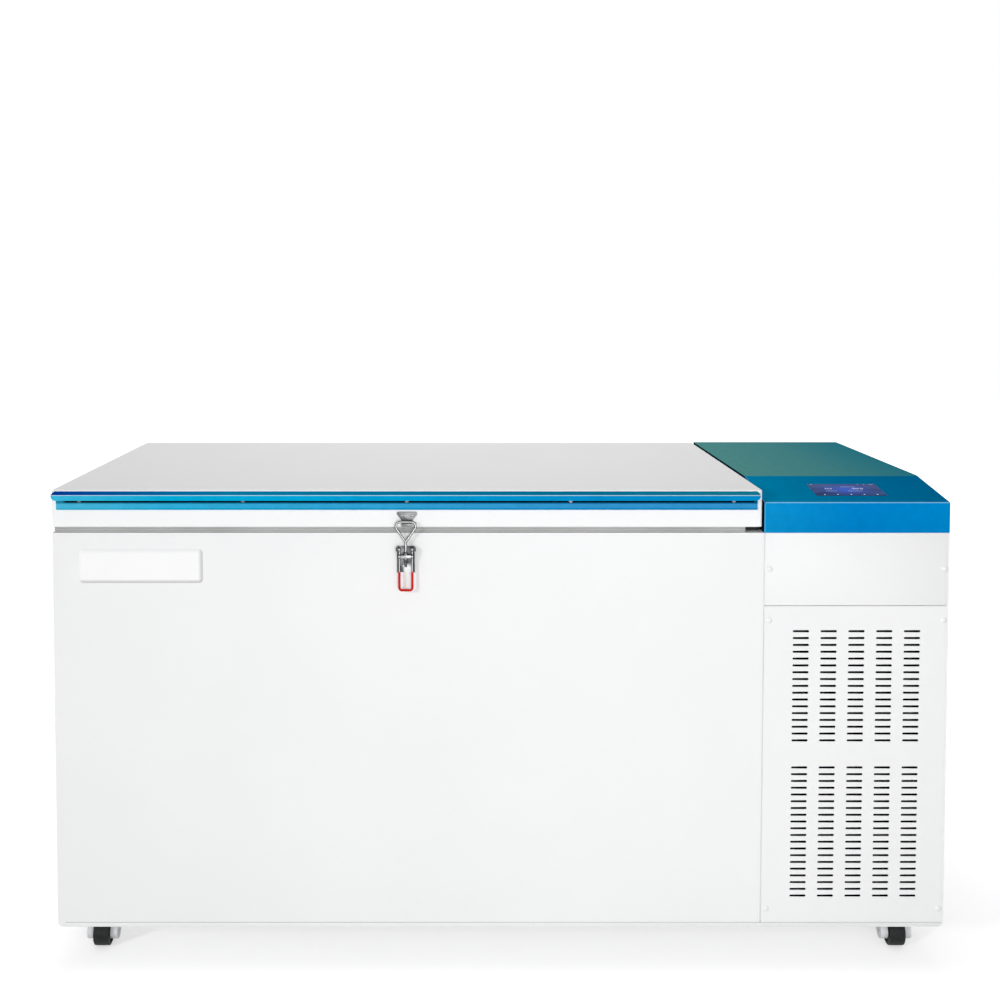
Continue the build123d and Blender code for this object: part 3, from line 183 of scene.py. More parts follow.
whiteLook = {
    "colour": (0.905, 0.908, 0.91),
    "shade": (0.88, 0.884, 0.888),
    "patch": 2.2,
    "rough": (0.40, 0.50),
    "grain": 520.0,
    "depth": 0.00005,
    "specular": 0.3,
}
lidLook = {
    **whiteLook,
    "colour": (0.985, 0.985, 0.985),
    "shade": (0.975, 0.975, 0.975),
    "rough": (0.55, 0.65),
    "specular": 0.12,
    # painted light by facing: the front and the top a little darker, the rounded edges between them brighter
    # as a painted highlight
    "tones": ((0.10, 0.98), (0.35, 1.0), (0.80, 1.0), (0.98, 0.985)),
}
blueLook = {
    # painted light: the front, slope and top are lit and shaded copies of one blue, each lighter at the left
    # end; the top's teal is partly the paint's own shade and partly a painted reflection
    "front": ((0.004, 0.300, 0.663), (0.0, 0.234, 0.616), (0.0, 0.253, 0.642)),
    "slope": ((0.0, 0.285, 0.54), (0.0, 0.212, 0.45), (0.0, 0.176, 0.39)),
    "top": ((0.115, 0.365, 0.352), (0.085, 0.32, 0.335), (0.03, 0.25, 0.325)),
    # painted highlights on the rounded top edge and on the left corner
    "edge": (0.22, 0.54, 0.86),
    "corner": (0.09, 0.40, 0.76),
    # painted shade on the left side, in the gap beside the lid
    "gap": (0.0, 0.022, 0.05),
    "places": (0.0, 0.5, 1.0),
    # painted shade: the front darker towards its foot
    "footPaintedShadeTones": ((0.0, 0.90), (0.7, 1.0)),
    "edgePaintedHighlightTones": ((0.12, 0.0), (0.35, 1.0)),
    "cornerPaintedHighlightTones": ((0.15, 0.0), (0.35, 1.0)),
    "slopePaintedLightTones": ((0.78, 0.0), (0.95, 1.0)),
    "topPaintedLightTones": ((0.9935, 0.0), (0.998, 1.0)),
    "gapPaintedShadeTones": ((0.80, 0.0), (0.95, 1.0)),
    "mottle": ((0.35, 0.93), (0.65, 1.0)),
    "patch": 60.0,
    "smear": 25.0,
    "rough": (0.42, 0.55),
    "grain": 700.0,
    "depth": 0.00008,
    "strength": 0.6,
    "specular": 0.0,
}
handleLook = {
    # painted light: the lip and flange run lighter towards the left end
    "lip": ((0.0, (0.045, 0.50, 0.74)), (0.16, (0.0, 0.42, 0.71)), (0.75, (0.0, 0.27, 0.60))),
    # painted highlight: a pale band across the middle of the flange
    "flangePaintedGlint": (0.55, 0.85, 0.95),
    "flangePaintedGlintTones": ((0.06, 0.0), (0.16, 0.07), (0.30, 0.07), (0.38, 0.0)),
    # painted shade: darker at the foot, with a painted shadow of the lip in a band under it
    "risePaintedLightTones": ((0.02, 0.84), (0.10, 1.0), (0.31, 1.0), (0.385, 0.45), (0.50, 0.45), (0.53, 1.0)),
    # painted highlight along the crest
    "crestPaintedHighlight": (0.62, 0.80, 0.93),
    "crestPaintedHighlightTones": ((0.15, 0.0), (0.40, 1.0)),
    # painted reflection on the upper facet, darkest at the left end
    "upper": (
        (0.0, (0.0, 0.06, 0.42)), (0.25, (0.0, 0.27, 0.52)),
        (0.75, (0.0, 0.23, 0.42)), (1.0, (0.01, 0.29, 0.44)),
    ),
    "upperFacetPaintedLightTones": ((0.80, 0.0), (0.93, 1.0)),
    "mottle": ((0.35, 0.92), (0.65, 1.0)),
    "patch": 45.0,
    "smear": 25.0,
    "rough": (0.34, 0.48),
    "grain": 800.0,
    "depth": 0.00004,
    "strength": 0.6,
    "specular": 0.0,
}
wireLook = {
    # painted reflection: bright where the wire faces the front, dark along its sides
    "paintedReflectionBands": (
        (0.0, (0.012, 0.012, 0.013)), (0.62, (0.035, 0.035, 0.038)),
        (0.84, (0.15, 0.15, 0.155)), (0.98, (0.41, 0.41, 0.41)),
    ),
    "smear": 120.0,
    "rough": (0.32, 0.45),
}
plateLook = {
    "colour": (0.170, 0.174, 0.176),
    "shade": (0.125, 0.128, 0.130),
    "patch": 160.0,
    "rough": (0.34, 0.52),
    "grain": 900.0,
    "depth": 0.00006,
    "metal": 1.0,
}
darkPlateLook = {
    "colour": (0.14, 0.143, 0.146),
    "shade": (0.038, 0.039, 0.040),
    # painted reflection: the colour and masks of a bright patch low in the middle of the plate
    "paintedReflectionColour": (0.62, 0.62, 0.63),
    "risePaintedLightTones": ((0.22, 1.0), (0.36, 0.0)),
    "acrossPaintedReflectionTones": ((0.30, 0.0), (0.46, 1.0), (0.74, 1.0), (0.86, 0.0)),
    "patch": 110.0,
    "rough": (0.26, 0.44),
    "grain": 700.0,
    "depth": 0.00008,
    "metal": 1.0,
}
zincLook = {
    "colour": (0.39, 0.395, 0.40),
    "shade": (0.27, 0.275, 0.28),
    "patch": 90.0,
    "rough": (0.22, 0.42),
    "grain": 900.0,
    "depth": 0.00006,
    "metal": 1.0,
}
stainlessLook = {
    "colour": (0.76, 0.77, 0.78),
    "shade": (0.68, 0.69, 0.70),
    "patch": 9.0,
    "rough": (0.34, 0.48),
    "grain": 260.0,
    "depth": 0.00005,
    "stretch": (0.04, 1.0, 1.0),
    "metal": 0.6,
}
copperLook = {
    "colour": (0.72, 0.36, 0.22),
    "shade": (0.50, 0.22, 0.13),
    "patch": 30.0,
    "rough": (0.25, 0.45),
    "grain": 500.0,
    "depth": 0.00005,
    "metal": 1.0,
}
blackPaintLook = {
    "colour": (0.030, 0.030, 0.033),
    "shade": (0.018, 0.018, 0.020),
    "patch": 14.0,
    "rough": (0.30, 0.46),
    "grain": 420.0,
    "depth": 0.00008,
}
ironLook = {
    "colour": (0.045, 0.045, 0.050),
    "shade": (0.022, 0.022, 0.025),
    "patch": 26.0,
    "rough": (0.38, 0.60),
    "grain": 240.0,
    "depth": 0.0002,
}
aluminiumLook = {
    "colour": (0.66, 0.67, 0.68),
    "shade": (0.50, 0.51, 0.52),
    "patch": 16.0,
    "rough": (0.32, 0.50),
    "grain": 300.0,
    "depth": 0.00005,
    "stretch": (1.0, 1.0, 0.08),
    "metal": 1.0,
}
whitePlasticLook = {
    "colour": (0.86, 0.865, 0.87),
    "shade": (0.82, 0.825, 0.83),
    "patch": 5.0,
    "rough": (0.42, 0.55),
    "grain": 900.0,
    "depth": 0.00004,
}
forkLook = {
    "colour": (0.80, 0.81, 0.82),
    "shade": (0.70, 0.71, 0.72),
    "patch": 40.0,
    "rough": (0.40, 0.58),
    "grain": 700.0,
    "depth": 0.00008,
}
greyPlasticLook = {
    "colour": (0.22, 0.23, 0.24),
    "shade": (0.17, 0.18, 0.19),
    "patch": 12.0,
    "rough": (0.45, 0.60),
    "grain": 600.0,
    "depth": 0.00008,
}
blackPlasticLook = {
    "colour": (0.024, 0.024, 0.026),
    "shade": (0.014, 0.014, 0.015),
    "patch": 24.0,
    "rough": (0.40, 0.55),
    "grain": 800.0,
    "depth": 0.00008,
}
# near black without gloss, painted shade for dark hollows
shadeBlackLook = {
    **blackPlasticLook,
    "colour": (0.003, 0.005, 0.009),
    "shade": (0.002, 0.003, 0.005),
    "specular": 0.0,
}
redLook = {
    "colour": (0.60, 0.008, 0.002),
    "shade": (0.50, 0.005, 0.001),
    "patch": 60.0,
    "rough": (0.30, 0.44),
    "grain": 160.0,
    "depth": 0.0002,
    "specular": 0.15,
}
gasketLook = {
    "colour": (0.53, 0.535, 0.53),
    "shade": (0.44, 0.445, 0.44),
    "patch": 6.0,
    "rough": (0.55, 0.70),
    "grain": 500.0,
    "depth": 0.00005,
    "specular": 0.2,
}
rubberLook = {
    "colour": (0.028, 0.028, 0.028),
    "shade": (0.016, 0.016, 0.016),
    "patch": 30.0,
    "rough": (0.60, 0.75),
    "grain": 400.0,
    "depth": 0.0001,
}
tyreLook = {
    "colour": (0.013, 0.015, 0.015),
    "shade": (0.002, 0.003, 0.003),
    "patch": 110.0,
    "rough": (0.42, 0.62),
    "grain": 500.0,
    "depth": 0.00015,
    "specular": 0.25,
}
foamLook = {
    "colour": (0.80, 0.70, 0.46),
    "shade": (0.66, 0.55, 0.32),
    "cell": 320.0,
    "rough": 0.9,
    "depth": 0.0006,
    "strength": 0.8,
}
galvanisedLook = {
    "light": (0.66, 0.68, 0.70),
    "dark": (0.48, 0.50, 0.52),
    "spangle": 70.0,
    "rough": (0.34, 0.55),
    "grain": 300.0,
    "depth": 0.00005,
    "strength": 0.5,
}


def paintedBlue(name, look, colour):
    material, tree, shader, coords = startFinish(name)
    mottle = tones(tree, noise(tree, coords, look["patch"]), look["mottle"])
    setInputs(tree, shader, {
        "Base Color": multiplied(tree, colour(tree, coords), mottle),
        "Roughness": ranged(tree, noise(tree, coords, look["smear"]), *look["rough"]),
        "Specular IOR Level": look["specular"],
    })
    grain = noise(tree, coords, look["grain"], layerPlan["grainDetail"])
    bumped(tree, shader, grain, look["depth"], look["strength"])
    return material


def coverColourWithPaintedLight(tree, coords):
    look = blueLook
    low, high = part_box("top_cover")
    along = alongAxis(tree, coords, "X", low.x, high.x)
    rise = alongAxis(tree, coords, "Z", low.z, high.z)
    upward, leftward = facingValue(tree, "Z"), facingValue(tree, "X", -1.0)
    # painted light: the front, slope and top colours each run lighter to the left
    front, slope, top = (
        ramp(tree, along, tuple(zip(look["places"], look[side]))) for side in ("front", "slope", "top")
    )
    # painted shade, darker towards the bottom
    folded = multiplied(tree, front, tones(tree, rise, look["footPaintedShadeTones"]))
    # painted highlights on the top edge and left corner, lit copies for the slope and top, painted shade on
    # the left side
    layers = (
        (upward, "edgePaintedHighlightTones", (*look["edge"], 1)),
        (leftward, "cornerPaintedHighlightTones", (*look["corner"], 1)),
        (upward, "slopePaintedLightTones", slope),
        (upward, "topPaintedLightTones", top),
        (leftward, "gapPaintedShadeTones", (*look["gap"], 1)),
    )
    for facing, share, colour in layers:
        folded = blended(tree, tones(tree, facing, look[share]), folded, colour)
    return folded


def handleColourWithPaintedLight(tree, coords):
    look = handleLook
    low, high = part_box("lid_handle")
    along = alongAxis(tree, coords, "X", low.x, high.x)
    rise = alongAxis(tree, coords, "Z", low.z, high.z)
    upward = facingValue(tree, "Z")
    # painted light: lighter to the left, a painted highlight band on the flange, painted shade at the foot
    # and under the lip, a painted highlight on the crest and a painted reflection on the upper facet
    lip = ramp(tree, along, look["lip"])
    lip = blended(tree, tones(tree, rise, look["flangePaintedGlintTones"]), lip, (*look["flangePaintedGlint"], 1))
    lip = multiplied(tree, lip, tones(tree, rise, look["risePaintedLightTones"]))
    lit = blended(tree, tones(tree, upward, look["crestPaintedHighlightTones"]), lip, (*look["crestPaintedHighlight"], 1))
    return blended(tree, tones(tree, upward, look["upperFacetPaintedLightTones"]), lit, ramp(tree, along, look["upper"]))


def paintOf(shader):
    return shader.inputs["Base Color"].links[0].from_socket


def tinted(tree, shader, tint):
    tree.links.new(multiplied(tree, paintOf(shader), tint), shader.inputs["Base Color"])


def lidPaintWithPaintedLight():
    material, tree, shader = layered("lidPaintWithPaintedLight", lidLook)[:3]
    # painted shade on the lid's front and top, painted highlight on its rounded edges
    tinted(tree, shader, tones(tree, facingValue(tree, "Z"), lidLook["tones"]))
    return material


def polishedWireWithPaintedReflection():
    look = wireLook
    material, tree, shader, coords = startFinish("polishedWireWithPaintedReflection")
    setInputs(tree, shader, {
        # painted reflection, bright on the front of the wire and dark at its sides
        "Base Color": ramp(tree, facingValue(tree, "Y", -1.0), look["paintedReflectionBands"]),
        "Roughness": ranged(tree, noise(tree, coords, look["smear"]), *look["rough"]),
        "Metallic": 1.0,
    })
    return material


def bracketMetalWithPaintedReflection():
    # dark plating, with a painted reflection that makes it bright low in the middle of the plate
    look = darkPlateLook
    material, tree, shader, coords = layered("darkPlatedSteelWithPaintedReflection", look)
    low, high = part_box("latch_base")
    rise = tones(tree, alongAxis(tree, coords, "Z", low.z, high.z), look["risePaintedLightTones"])
    across = tones(tree, alongAxis(tree, coords, "X", low.x, high.x), look["acrossPaintedReflectionTones"])
    paintedShine = blended(tree, multiplied(tree, rise, across), paintOf(shader), (*look["paintedReflectionColour"], 1))
    tree.links.new(paintedShine, shader.inputs["Base Color"])
    return material


def foamFinish():
    look = foamLook
    material, tree, shader, coords = startFinish("insulationFoam")
    bubbles = cells(tree, coords, look["cell"])
    tone = ramp(tree, bubbles, ((0.0, look["shade"]), (0.6, look["colour"])))
    setInputs(tree, shader, {"Base Color": tone, "Roughness": look["rough"]})
    bumped(tree, shader, bubbles, look["depth"], look["strength"])
    return material


def galvanisedFinish():
    look = galvanisedLook
    material, tree, shader, coords = startFinish("galvanisedSheet")
    spangles = cells(tree, coords, look["spangle"], output="Color")
    setInputs(tree, shader, {
        "Base Color": ramp(tree, spangles, ((0.1, look["dark"]), (0.9, look["light"]))),
        "Roughness": ranged(tree, spangles, *look["rough"]),
        "Metallic": 1.0,
    })
    bumped(tree, shader, noise(tree, coords, look["grain"]), look["depth"], look["strength"])
    return material


layeredFinishes = {
    "white_paint": ("whitePowderPaint", whiteLook),
    "black_paint": ("blackPaint", blackPaintLook),
    "compressor_iron": ("compressorIron", ironLook),
    "stainless": ("brushedStainless", stainlessLook),
    "zinc": ("zincPlate", zincLook),
    "copper": ("copperTube", copperLook),
    "fin_aluminium": ("finAluminium", aluminiumLook),
    "white_plastic": ("whitePlastic", whitePlasticLook),
    "fork_plastic": ("forkPlastic", forkLook),
    "grey_plastic": ("greyPlastic", greyPlasticLook),
    "black_plastic": ("blackPlastic", blackPlasticLook),
    "red_vinyl": ("redVinyl", redLook),
    "display_glass": ("displayBody", blackPlasticLook),
    "grey_rubber": ("greyGasket", gasketLook),
    "black_rubber": ("blackRubber", rubberLook),
    "wheel_rubber": ("wheelTread", tyreLook),
}
finishes = {slot: layered(*plan)[0] for slot, plan in layeredFinishes.items()}
finishes["blue_paint"] = paintedBlue("blueCoverPaintWithPaintedLight", blueLook, coverColourWithPaintedLight)
finishes["blue_paint_light"] = paintedBlue("handlePaintWithPaintedLight", handleLook, handleColourWithPaintedLight)
finishes["galvanised"] = galvanisedFinish()
finishes["foam"] = foamFinish()
wireWithPaintedReflection = polishedWireWithPaintedReflection()
plateMetal = layered("platedSteel", plateLook)[0]
darkMetalWithPaintedReflection = bracketMetalWithPaintedReflection()
for node, piece in frame["nodes"].items():
    piece.data.materials.clear()
    piece.data.materials.append(finishes[nodeSlot[node]])
frame["nodes"]["lid_outer_pan"].data.materials[0] = lidPaintWithPaintedLight()
print("finishes made:", len(finishes))


# Mesh helpers

meshPlan = {"merge": 0.000002, "copyMerge": 0.000005, "flat": 0.5, "corner": 25.0, "smooth": 32.0}


def placeObject(name, data):
    made = bpy.data.objects.new(name, data)
    bpy.context.scene.collection.objects.link(made)
    return made


def meshObject(name, bm):
    mesh = bpy.data.meshes.new(name)
    bm.to_mesh(mesh)
    bm.free()
    return placeObject(name, mesh)


def shadeByAngle(bm):
    limit = math.radians(meshPlan["smooth"])
    for face in bm.faces:
        face.smooth = True
    for edge in bm.edges:
        edge.smooth = len(edge.link_faces) == 2 and edge.calc_face_angle() < limit


def finishPiece(name, bm, body, slot, replaced=(), material=None):
    shadeByAngle(bm)
    piece = meshObject(name, bm)
    piece.data.materials.append(material or finishes[slot])
    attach(piece, body)
    if replaced:
        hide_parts(*replaced)


def addBlock(bm, low, high):
    made = bmesh.ops.create_cube(bm, size=1.0)["verts"]
    low, high = Vector(low), Vector(high)
    bmesh.ops.scale(bm, verts=made, vec=high - low)
    bmesh.ops.translate(bm, verts=made, vec=(low + high) / 2)
    return made


def edgesOf(verts):
    return list({edge for vert in verts for edge in vert.link_edges})


def roundOff(bm, edges, width, segments=2):
    bmesh.ops.bevel(
        bm, geom=edges, offset=width, segments=segments, profile=0.5,
        affect="EDGES", clamp_overlap=True, material=-1,
    )


def lathe(bm, profile, centre, axis, steps=32):
    # profile holds (distance along the axis, radius) pairs, turned once about the axis
    axis = Vector(axis).normalized()
    side = axis.orthogonal().normalized()
    verts = [bm.verts.new(Vector(centre) + axis * along + side * radius) for along, radius in profile]
    edges = [bm.edges.new(pair) for pair in zip(verts, verts[1:])]
    bmesh.ops.spin(
        bm, geom=verts + edges, cent=centre, axis=axis, angle=wholeTurn, steps=steps, use_merge=True,
    )


def addRoundedBlock(bm, low, high, width):
    roundOff(bm, edgesOf(addBlock(bm, low, high)), width)


def tidy(bm):
    bmesh.ops.remove_doubles(bm, verts=bm.verts, dist=meshPlan["merge"])
    bmesh.ops.recalc_face_normals(bm, faces=bm.faces)


def roundedCopy(node, name, width, segments=2, material=None):
    plan = meshPlan
    bm = bmesh.new()
    bm.from_mesh(frame["nodes"][node].data)
    bmesh.ops.remove_doubles(bm, verts=bm.verts, dist=plan["copyMerge"])
    bmesh.ops.dissolve_limit(bm, angle_limit=math.radians(plan["flat"]), verts=bm.verts, edges=bm.edges)
    limit = math.radians(plan["corner"])
    sharp = [e for e in bm.edges if len(e.link_faces) == 2 and e.calc_face_angle() > limit]
    roundOff(bm, sharp, width, segments)
    finishPiece(name, bm, nodeBody[node], nodeSlot[node], [node], material)


def roundedPath(points, radius, steps):
    points = [Vector(point) for point in points]
    path = [points[0]]
    for before, corner, after in zip(points, points[1:], points[2:]):
        toBefore, toAfter = (before - corner).normalized(), (after - corner).normalized()
        half = toBefore.angle(toAfter) / 2
        start, end = (corner + way * radius / math.tan(half) for way in (toBefore, toAfter))
        centre = corner + (toBefore + toAfter).normalized() * radius / math.sin(half)
        axis = (start - centre).cross(end - centre).normalized()
        for step in range(steps + 1):
            turn = Matrix.Rotation((math.pi - 2 * half) * step / steps, 3, axis)
            path.append(centre + turn @ (start - centre))
    return path + [points[-1]]


def bridgeRings(bm, rings):
    # joins the rings in order and closes both ends
    for first, second in zip(rings, rings[1:]):
        for index in range(len(first)):
            after = (index + 1) % len(first)
            bm.faces.new((first[index], first[after], second[after], second[index]))
    bm.faces.new(rings[0][::-1])
    bm.faces.new(rings[-1])


def addTube(bm, path, radius, sides):
    # radius is one value or one for each point; rings are carried along the path without twist
    radii = radius if isinstance(radius, (list, tuple)) else [radius] * len(path)
    heading = (path[1] - path[0]).normalized()
    side = heading.orthogonal().normalized()
    rings = []
    for index, point in enumerate(path):
        ahead = (path[min(index + 1, len(path) - 1)] - path[max(index - 1, 0)]).normalized()
        side = heading.rotation_difference(ahead) @ side
        heading = ahead
        spokes = [Matrix.Rotation(wholeTurn * step / sides, 3, ahead) @ side for step in range(sides)]
        rings.append([bm.verts.new(point + spoke * radii[index]) for spoke in spokes])
    bridgeRings(bm, rings)


# Vent panel: one sheet with rounded slots, folded back at its edges

ventLook = {
    "columns": 5,
    "rows": (17, 20),
    "columnPitch": 60.2 * mm,
    "groupGap": 60 * mm,
    "slotWidth": 35.5 * mm,
    "slotHeight": 5.3 * mm,
    "margin": 55 * mm,
    "baseMargin": 60 * mm,
    "shift": 3.0 * mm,
    "sheet": 1.5 * mm,
    "steps": 12,
}


def addSlot(bm, look, x, z):
    ring = bmesh.ops.create_circle(bm, segments=look["steps"], radius=look["slotHeight"] / 2)["verts"]
    stretch = (look["slotWidth"] - look["slotHeight"]) / 2
    for vert in ring:
        vert.co = Vector((x + vert.co.x + math.copysign(stretch, vert.co.x), 0, z + vert.co.y))


def makeVentPanel():
    look = ventLook
    low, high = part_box("vent_panel")
    bm = bmesh.new()
    outline = [(low.x, low.z), (high.x, low.z), (high.x, high.z), (low.x, high.z)]
    rim = [bm.verts.new((x, 0, z)) for x, z in outline]
    for start, end in zip(rim, rim[1:] + rim[:1]):
        bm.edges.new((start, end))
    midX = (low.x + high.x) / 2 + look["shift"]
    rise = high.z - low.z - look["margin"] - look["baseMargin"] - look["groupGap"]
    pitch = rise / (sum(look["rows"]) - 2)
    upper = [high.z - look["margin"] - row * pitch for row in range(look["rows"][0])]
    lower = [low.z + look["baseMargin"] + row * pitch for row in range(look["rows"][1])]
    for column in range(look["columns"]):
        x = midX + (column - (look["columns"] - 1) / 2) * look["columnPitch"]
        for z in upper + lower:
            addSlot(bm, look, x, z)
    bmesh.ops.triangle_fill(bm, use_beauty=True, edges=bm.edges[:])
    sheetFaces = bm.faces[:]
    for face in sheetFaces:
        if face.normal.y > 0:
            face.normal_flip()
    bmesh.ops.translate(bm, verts=bm.verts, vec=(0, low.y, 0))
    back = bmesh.ops.extrude_face_region(bm, geom=sheetFaces, use_keep_orig=True)["geom"]
    backFaces = [item for item in back if isinstance(item, bmesh.types.BMFace)]
    backVerts = [item for item in back if isinstance(item, bmesh.types.BMVert)]
    bmesh.ops.translate(bm, verts=backVerts, vec=(0, look["sheet"], 0))
    bmesh.ops.reverse_faces(bm, faces=backFaces)
    for x0, x1 in ((low.x, low.x + look["sheet"]), (high.x - look["sheet"], high.x)):
        addBlock(bm, (x0, low.y + look["sheet"], low.z), (x1, high.y, high.z))
    for z0, z1 in ((low.z, low.z + look["sheet"]), (high.z - look["sheet"], high.z)):
        addBlock(bm, (low.x + look["sheet"], low.y + look["sheet"], z0), (high.x - look["sheet"], high.y, z1))
    tidy(bm)
    finishPiece("ventPanel", bm, "cabinet", "white_paint", ["vent_panel"])


# Pleated filter behind the slots; its near-black, glossless colour is painted shade for the dark behind them

filterLook = {"inset": 6.0, "front": 8.0, "thick": 4.0, "pleat": 9.0, "sheet": 0.8}


def makeIntakeFilter():
    look = filterLook
    low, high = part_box("vent_panel")
    inset = look["inset"] * mm
    near, far = low.y + look["front"] * mm, low.y + (look["front"] + look["thick"]) * mm
    count = int((high.x - low.x - 2 * inset) / (look["pleat"] * mm))
    bm = bmesh.new()
    columns = []
    for step in range(count + 1):
        x = low.x + inset + (high.x - low.x - 2 * inset) * step / count
        y = near if step % 2 else far
        columns.append([bm.verts.new((x, y, z)) for z in (low.z + inset, high.z - inset)])
    for first, second in zip(columns, columns[1:]):
        bm.faces.new((first[0], second[0], second[1], first[1]))
    sheet = bm.faces[:]
    bmesh.ops.recalc_face_normals(bm, faces=sheet)
    bmesh.ops.solidify(bm, geom=sheet, thickness=look["sheet"] * mm)
    tidy(bm)
    finishPiece("intakeFilter", bm, "cabinet", "black_plastic", material=layered("filterShadeBlack", shadeBlackLook)[0])


makeVentPanel()
makeIntakeFilter()
print("vent panel made")


# Sheet-metal and moulded parts with softened edges

softEdges = {
    "base_pan": ("basePan", 1.0, None),
    "upper_front_panel": ("upperPanel", 0.9, None),
    "side_panel": ("sidePanel", 0.6, None),
    "compartment_rear_panel": ("rearPanel", 1.0, None),
    "lid_handle": ("handlePull", 0.9, None),
    "catch_plate": ("catchPlate", 0.6, plateMetal),
    "latch_base": ("latchBase", 0.6, darkMetalWithPaintedReflection),
    "latch_trunnion": ("latchTrunnion", 0.5, None),
    "latch_nuts": ("latchNuts", 0.4, plateMetal),
    "latch_pivot_pins": ("latchPins", 0.9, darkMetalWithPaintedReflection),
    "hinge_cabinet_leaves": ("hingeCabinetLeaves", 0.8, None),
    "hinge_lid_leaves": ("hingeLidLeaves", 0.8, None),
    "hinge_pins": ("hingePins", 0.8, None),
    "caster_plates": ("casterPlates", 0.8, plateMetal),
    "power_inlet": ("powerInlet", 0.8, None),
    "switch_frame": ("switchFrame", 0.8, None),
    "switch_rocker": ("switchRocker", 0.8, None),
    "electrical_box": ("electricalBox", 3.0, None),
    "cascade_heat_exchanger": ("heatExchanger", 8.0, None),
    "fan_blades": ("fanBlades", 0.8, None),
}
casterEdges = {"fork": 2.2, "forkSegments": 3, "axle": 1.0}
for node, (name, width, material) in softEdges.items():
    roundedCopy(node, name, width * mm, material=material)
for corner in corners:
    fork, axle = casterEdges["fork"] * mm, casterEdges["axle"] * mm
    roundedCopy(f"caster_fork_{corner}", f"casterFork.{corner}", fork, casterEdges["forkSegments"])
    roundedCopy(f"caster_axle_{corner}", f"casterAxle.{corner}", axle)
print("softened copies made")


# Screws with a cross recess

crossScrew = {
    "rim": ((0.0, 1.0), (0.45, 1.0), (0.8, 0.93), (1.0, 0.8)),
    "top": 0.99, "arm": 0.55, "half": 0.14, "depth": 0.5, "steps": 24,
}


def sized(profile, height, radius):
    return [(height * along, radius * out) for along, out in profile]


def addCrossScrew(bm, place, facing, radius, height):
    # made upright at the origin, then turned and moved
    look = crossScrew
    before = set(bm.verts)
    lathe(bm, sized(look["rim"], height, radius), (0, 0, 0), (0, 0, 1), look["steps"])
    ring = [v for v in bm.verts if v not in before and v.co.z > height * look["top"]]
    arm, half = radius * look["arm"], radius * look["half"]
    turns = [Matrix.Rotation(wholeTurn * quarter / 4, 3, "Z") for quarter in range(4)]
    corner = (Vector((arm, -half, height)), Vector((arm, half, height)), Vector((half, half, height)))
    outline = [bm.verts.new(turn @ point) for turn in turns for point in corner]
    crossEdges = [bm.edges.new(pair) for pair in zip(outline, outline[1:] + outline[:1])]
    ringEdges = [e for e in edgesOf(ring) if all(v in ring for v in e.verts)]
    bmesh.ops.triangle_fill(bm, use_beauty=True, edges=crossEdges + ringEdges)
    wall = bmesh.ops.extrude_edge_only(bm, edges=crossEdges)["geom"]
    sunk = [item for item in wall if isinstance(item, bmesh.types.BMVert)]
    bmesh.ops.translate(bm, verts=sunk, vec=(0, 0, -height * look["depth"]))
    bmesh.ops.contextual_create(bm, geom=sunk)
    made = [v for v in bm.verts if v not in before]
    bmesh.ops.recalc_face_normals(bm, faces=list({f for v in made for f in v.link_faces}))
    turn = Vector((0, 0, 1)).rotation_difference(Vector(facing)).to_matrix().to_4x4()
    bmesh.ops.transform(bm, matrix=Matrix.Translation(place) @ turn, verts=made)


def makeScrews(name, body, places, facing, look, material=None):
    bm = bmesh.new()
    for place in places:
        addCrossScrew(bm, place, facing, look["radius"] * mm, look["height"] * mm)
    finishPiece(name, bm, body, "zinc", material=material)


# Caps over the panel screws

capLook = {
    # foot and flank are the painted shade on the caps' lower and right sides
    "radius": 6.5, "height": 2.6, "margin": 31.0, "foot": 0.84, "flank": 0.84,
    "colour": (0.89, 0.89, 0.89), "shade": (0.87, 0.87, 0.87),
    "dome": ((0.0, 1.0), (0.30, 0.98), (0.55, 0.88), (0.8, 0.65), (0.95, 0.35), (1.0, 0.0)),
}
shadeTurn = (0.05, 0.65)  # how far a surface turns where its shade starts and is full


def plasticWithPaintedShade(name, look):
    # painted shade: darker where the surface faces down or to the right
    gloss = {**whitePlasticLook, "colour": look["colour"], "shade": look["shade"]}
    material, tree, shader = layered(name, gloss)[:3]
    foot = tones(tree, facingValue(tree, "Z", -1.0), zip(shadeTurn, (1.0, look["foot"])))
    flank = tones(tree, facingValue(tree, "X"), zip(shadeTurn, (1.0, look["flank"])))
    tinted(tree, shader, multiplied(tree, foot, flank))
    return material


def makeScrewCaps():
    look = capLook
    capLow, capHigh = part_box("panel_screw_caps")
    ventLow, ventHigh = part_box("vent_panel")
    radius = look["radius"] * mm
    dome = sized(look["dome"], look["height"] * mm, radius)
    bm = bmesh.new()
    for z in (capLow.z + radius, ventHigh.z - look["margin"] * mm, capHigh.z - radius):
        for x in (capLow.x + radius, capHigh.x - radius):
            lathe(bm, dome, (x, ventLow.y, z), (0, -1, 0))
    tidy(bm)
    plastic = plasticWithPaintedShade("capPlastic", look)
    finishPiece("screwCaps", bm, "cabinet", "white_plastic", ["panel_screw_caps"], plastic)


makeScrewCaps()
print("screw caps made")


# Bare name plate on the chest's front

namePlate = {
    "left": 58.5, "drop": 35.3, "width": 267.0, "height": 74.0, "thick": 4.5,
    # foot and flank are the painted shade on the plate's lower and right bevels
    "corner": 9.0, "leastCorner": 1.0, "edge": 9.5, "steps": 7, "turns": 8, "foot": 0.60, "flank": 0.68,
    "colour": (0.97, 0.97, 0.97), "shade": (0.95, 0.95, 0.95),
}


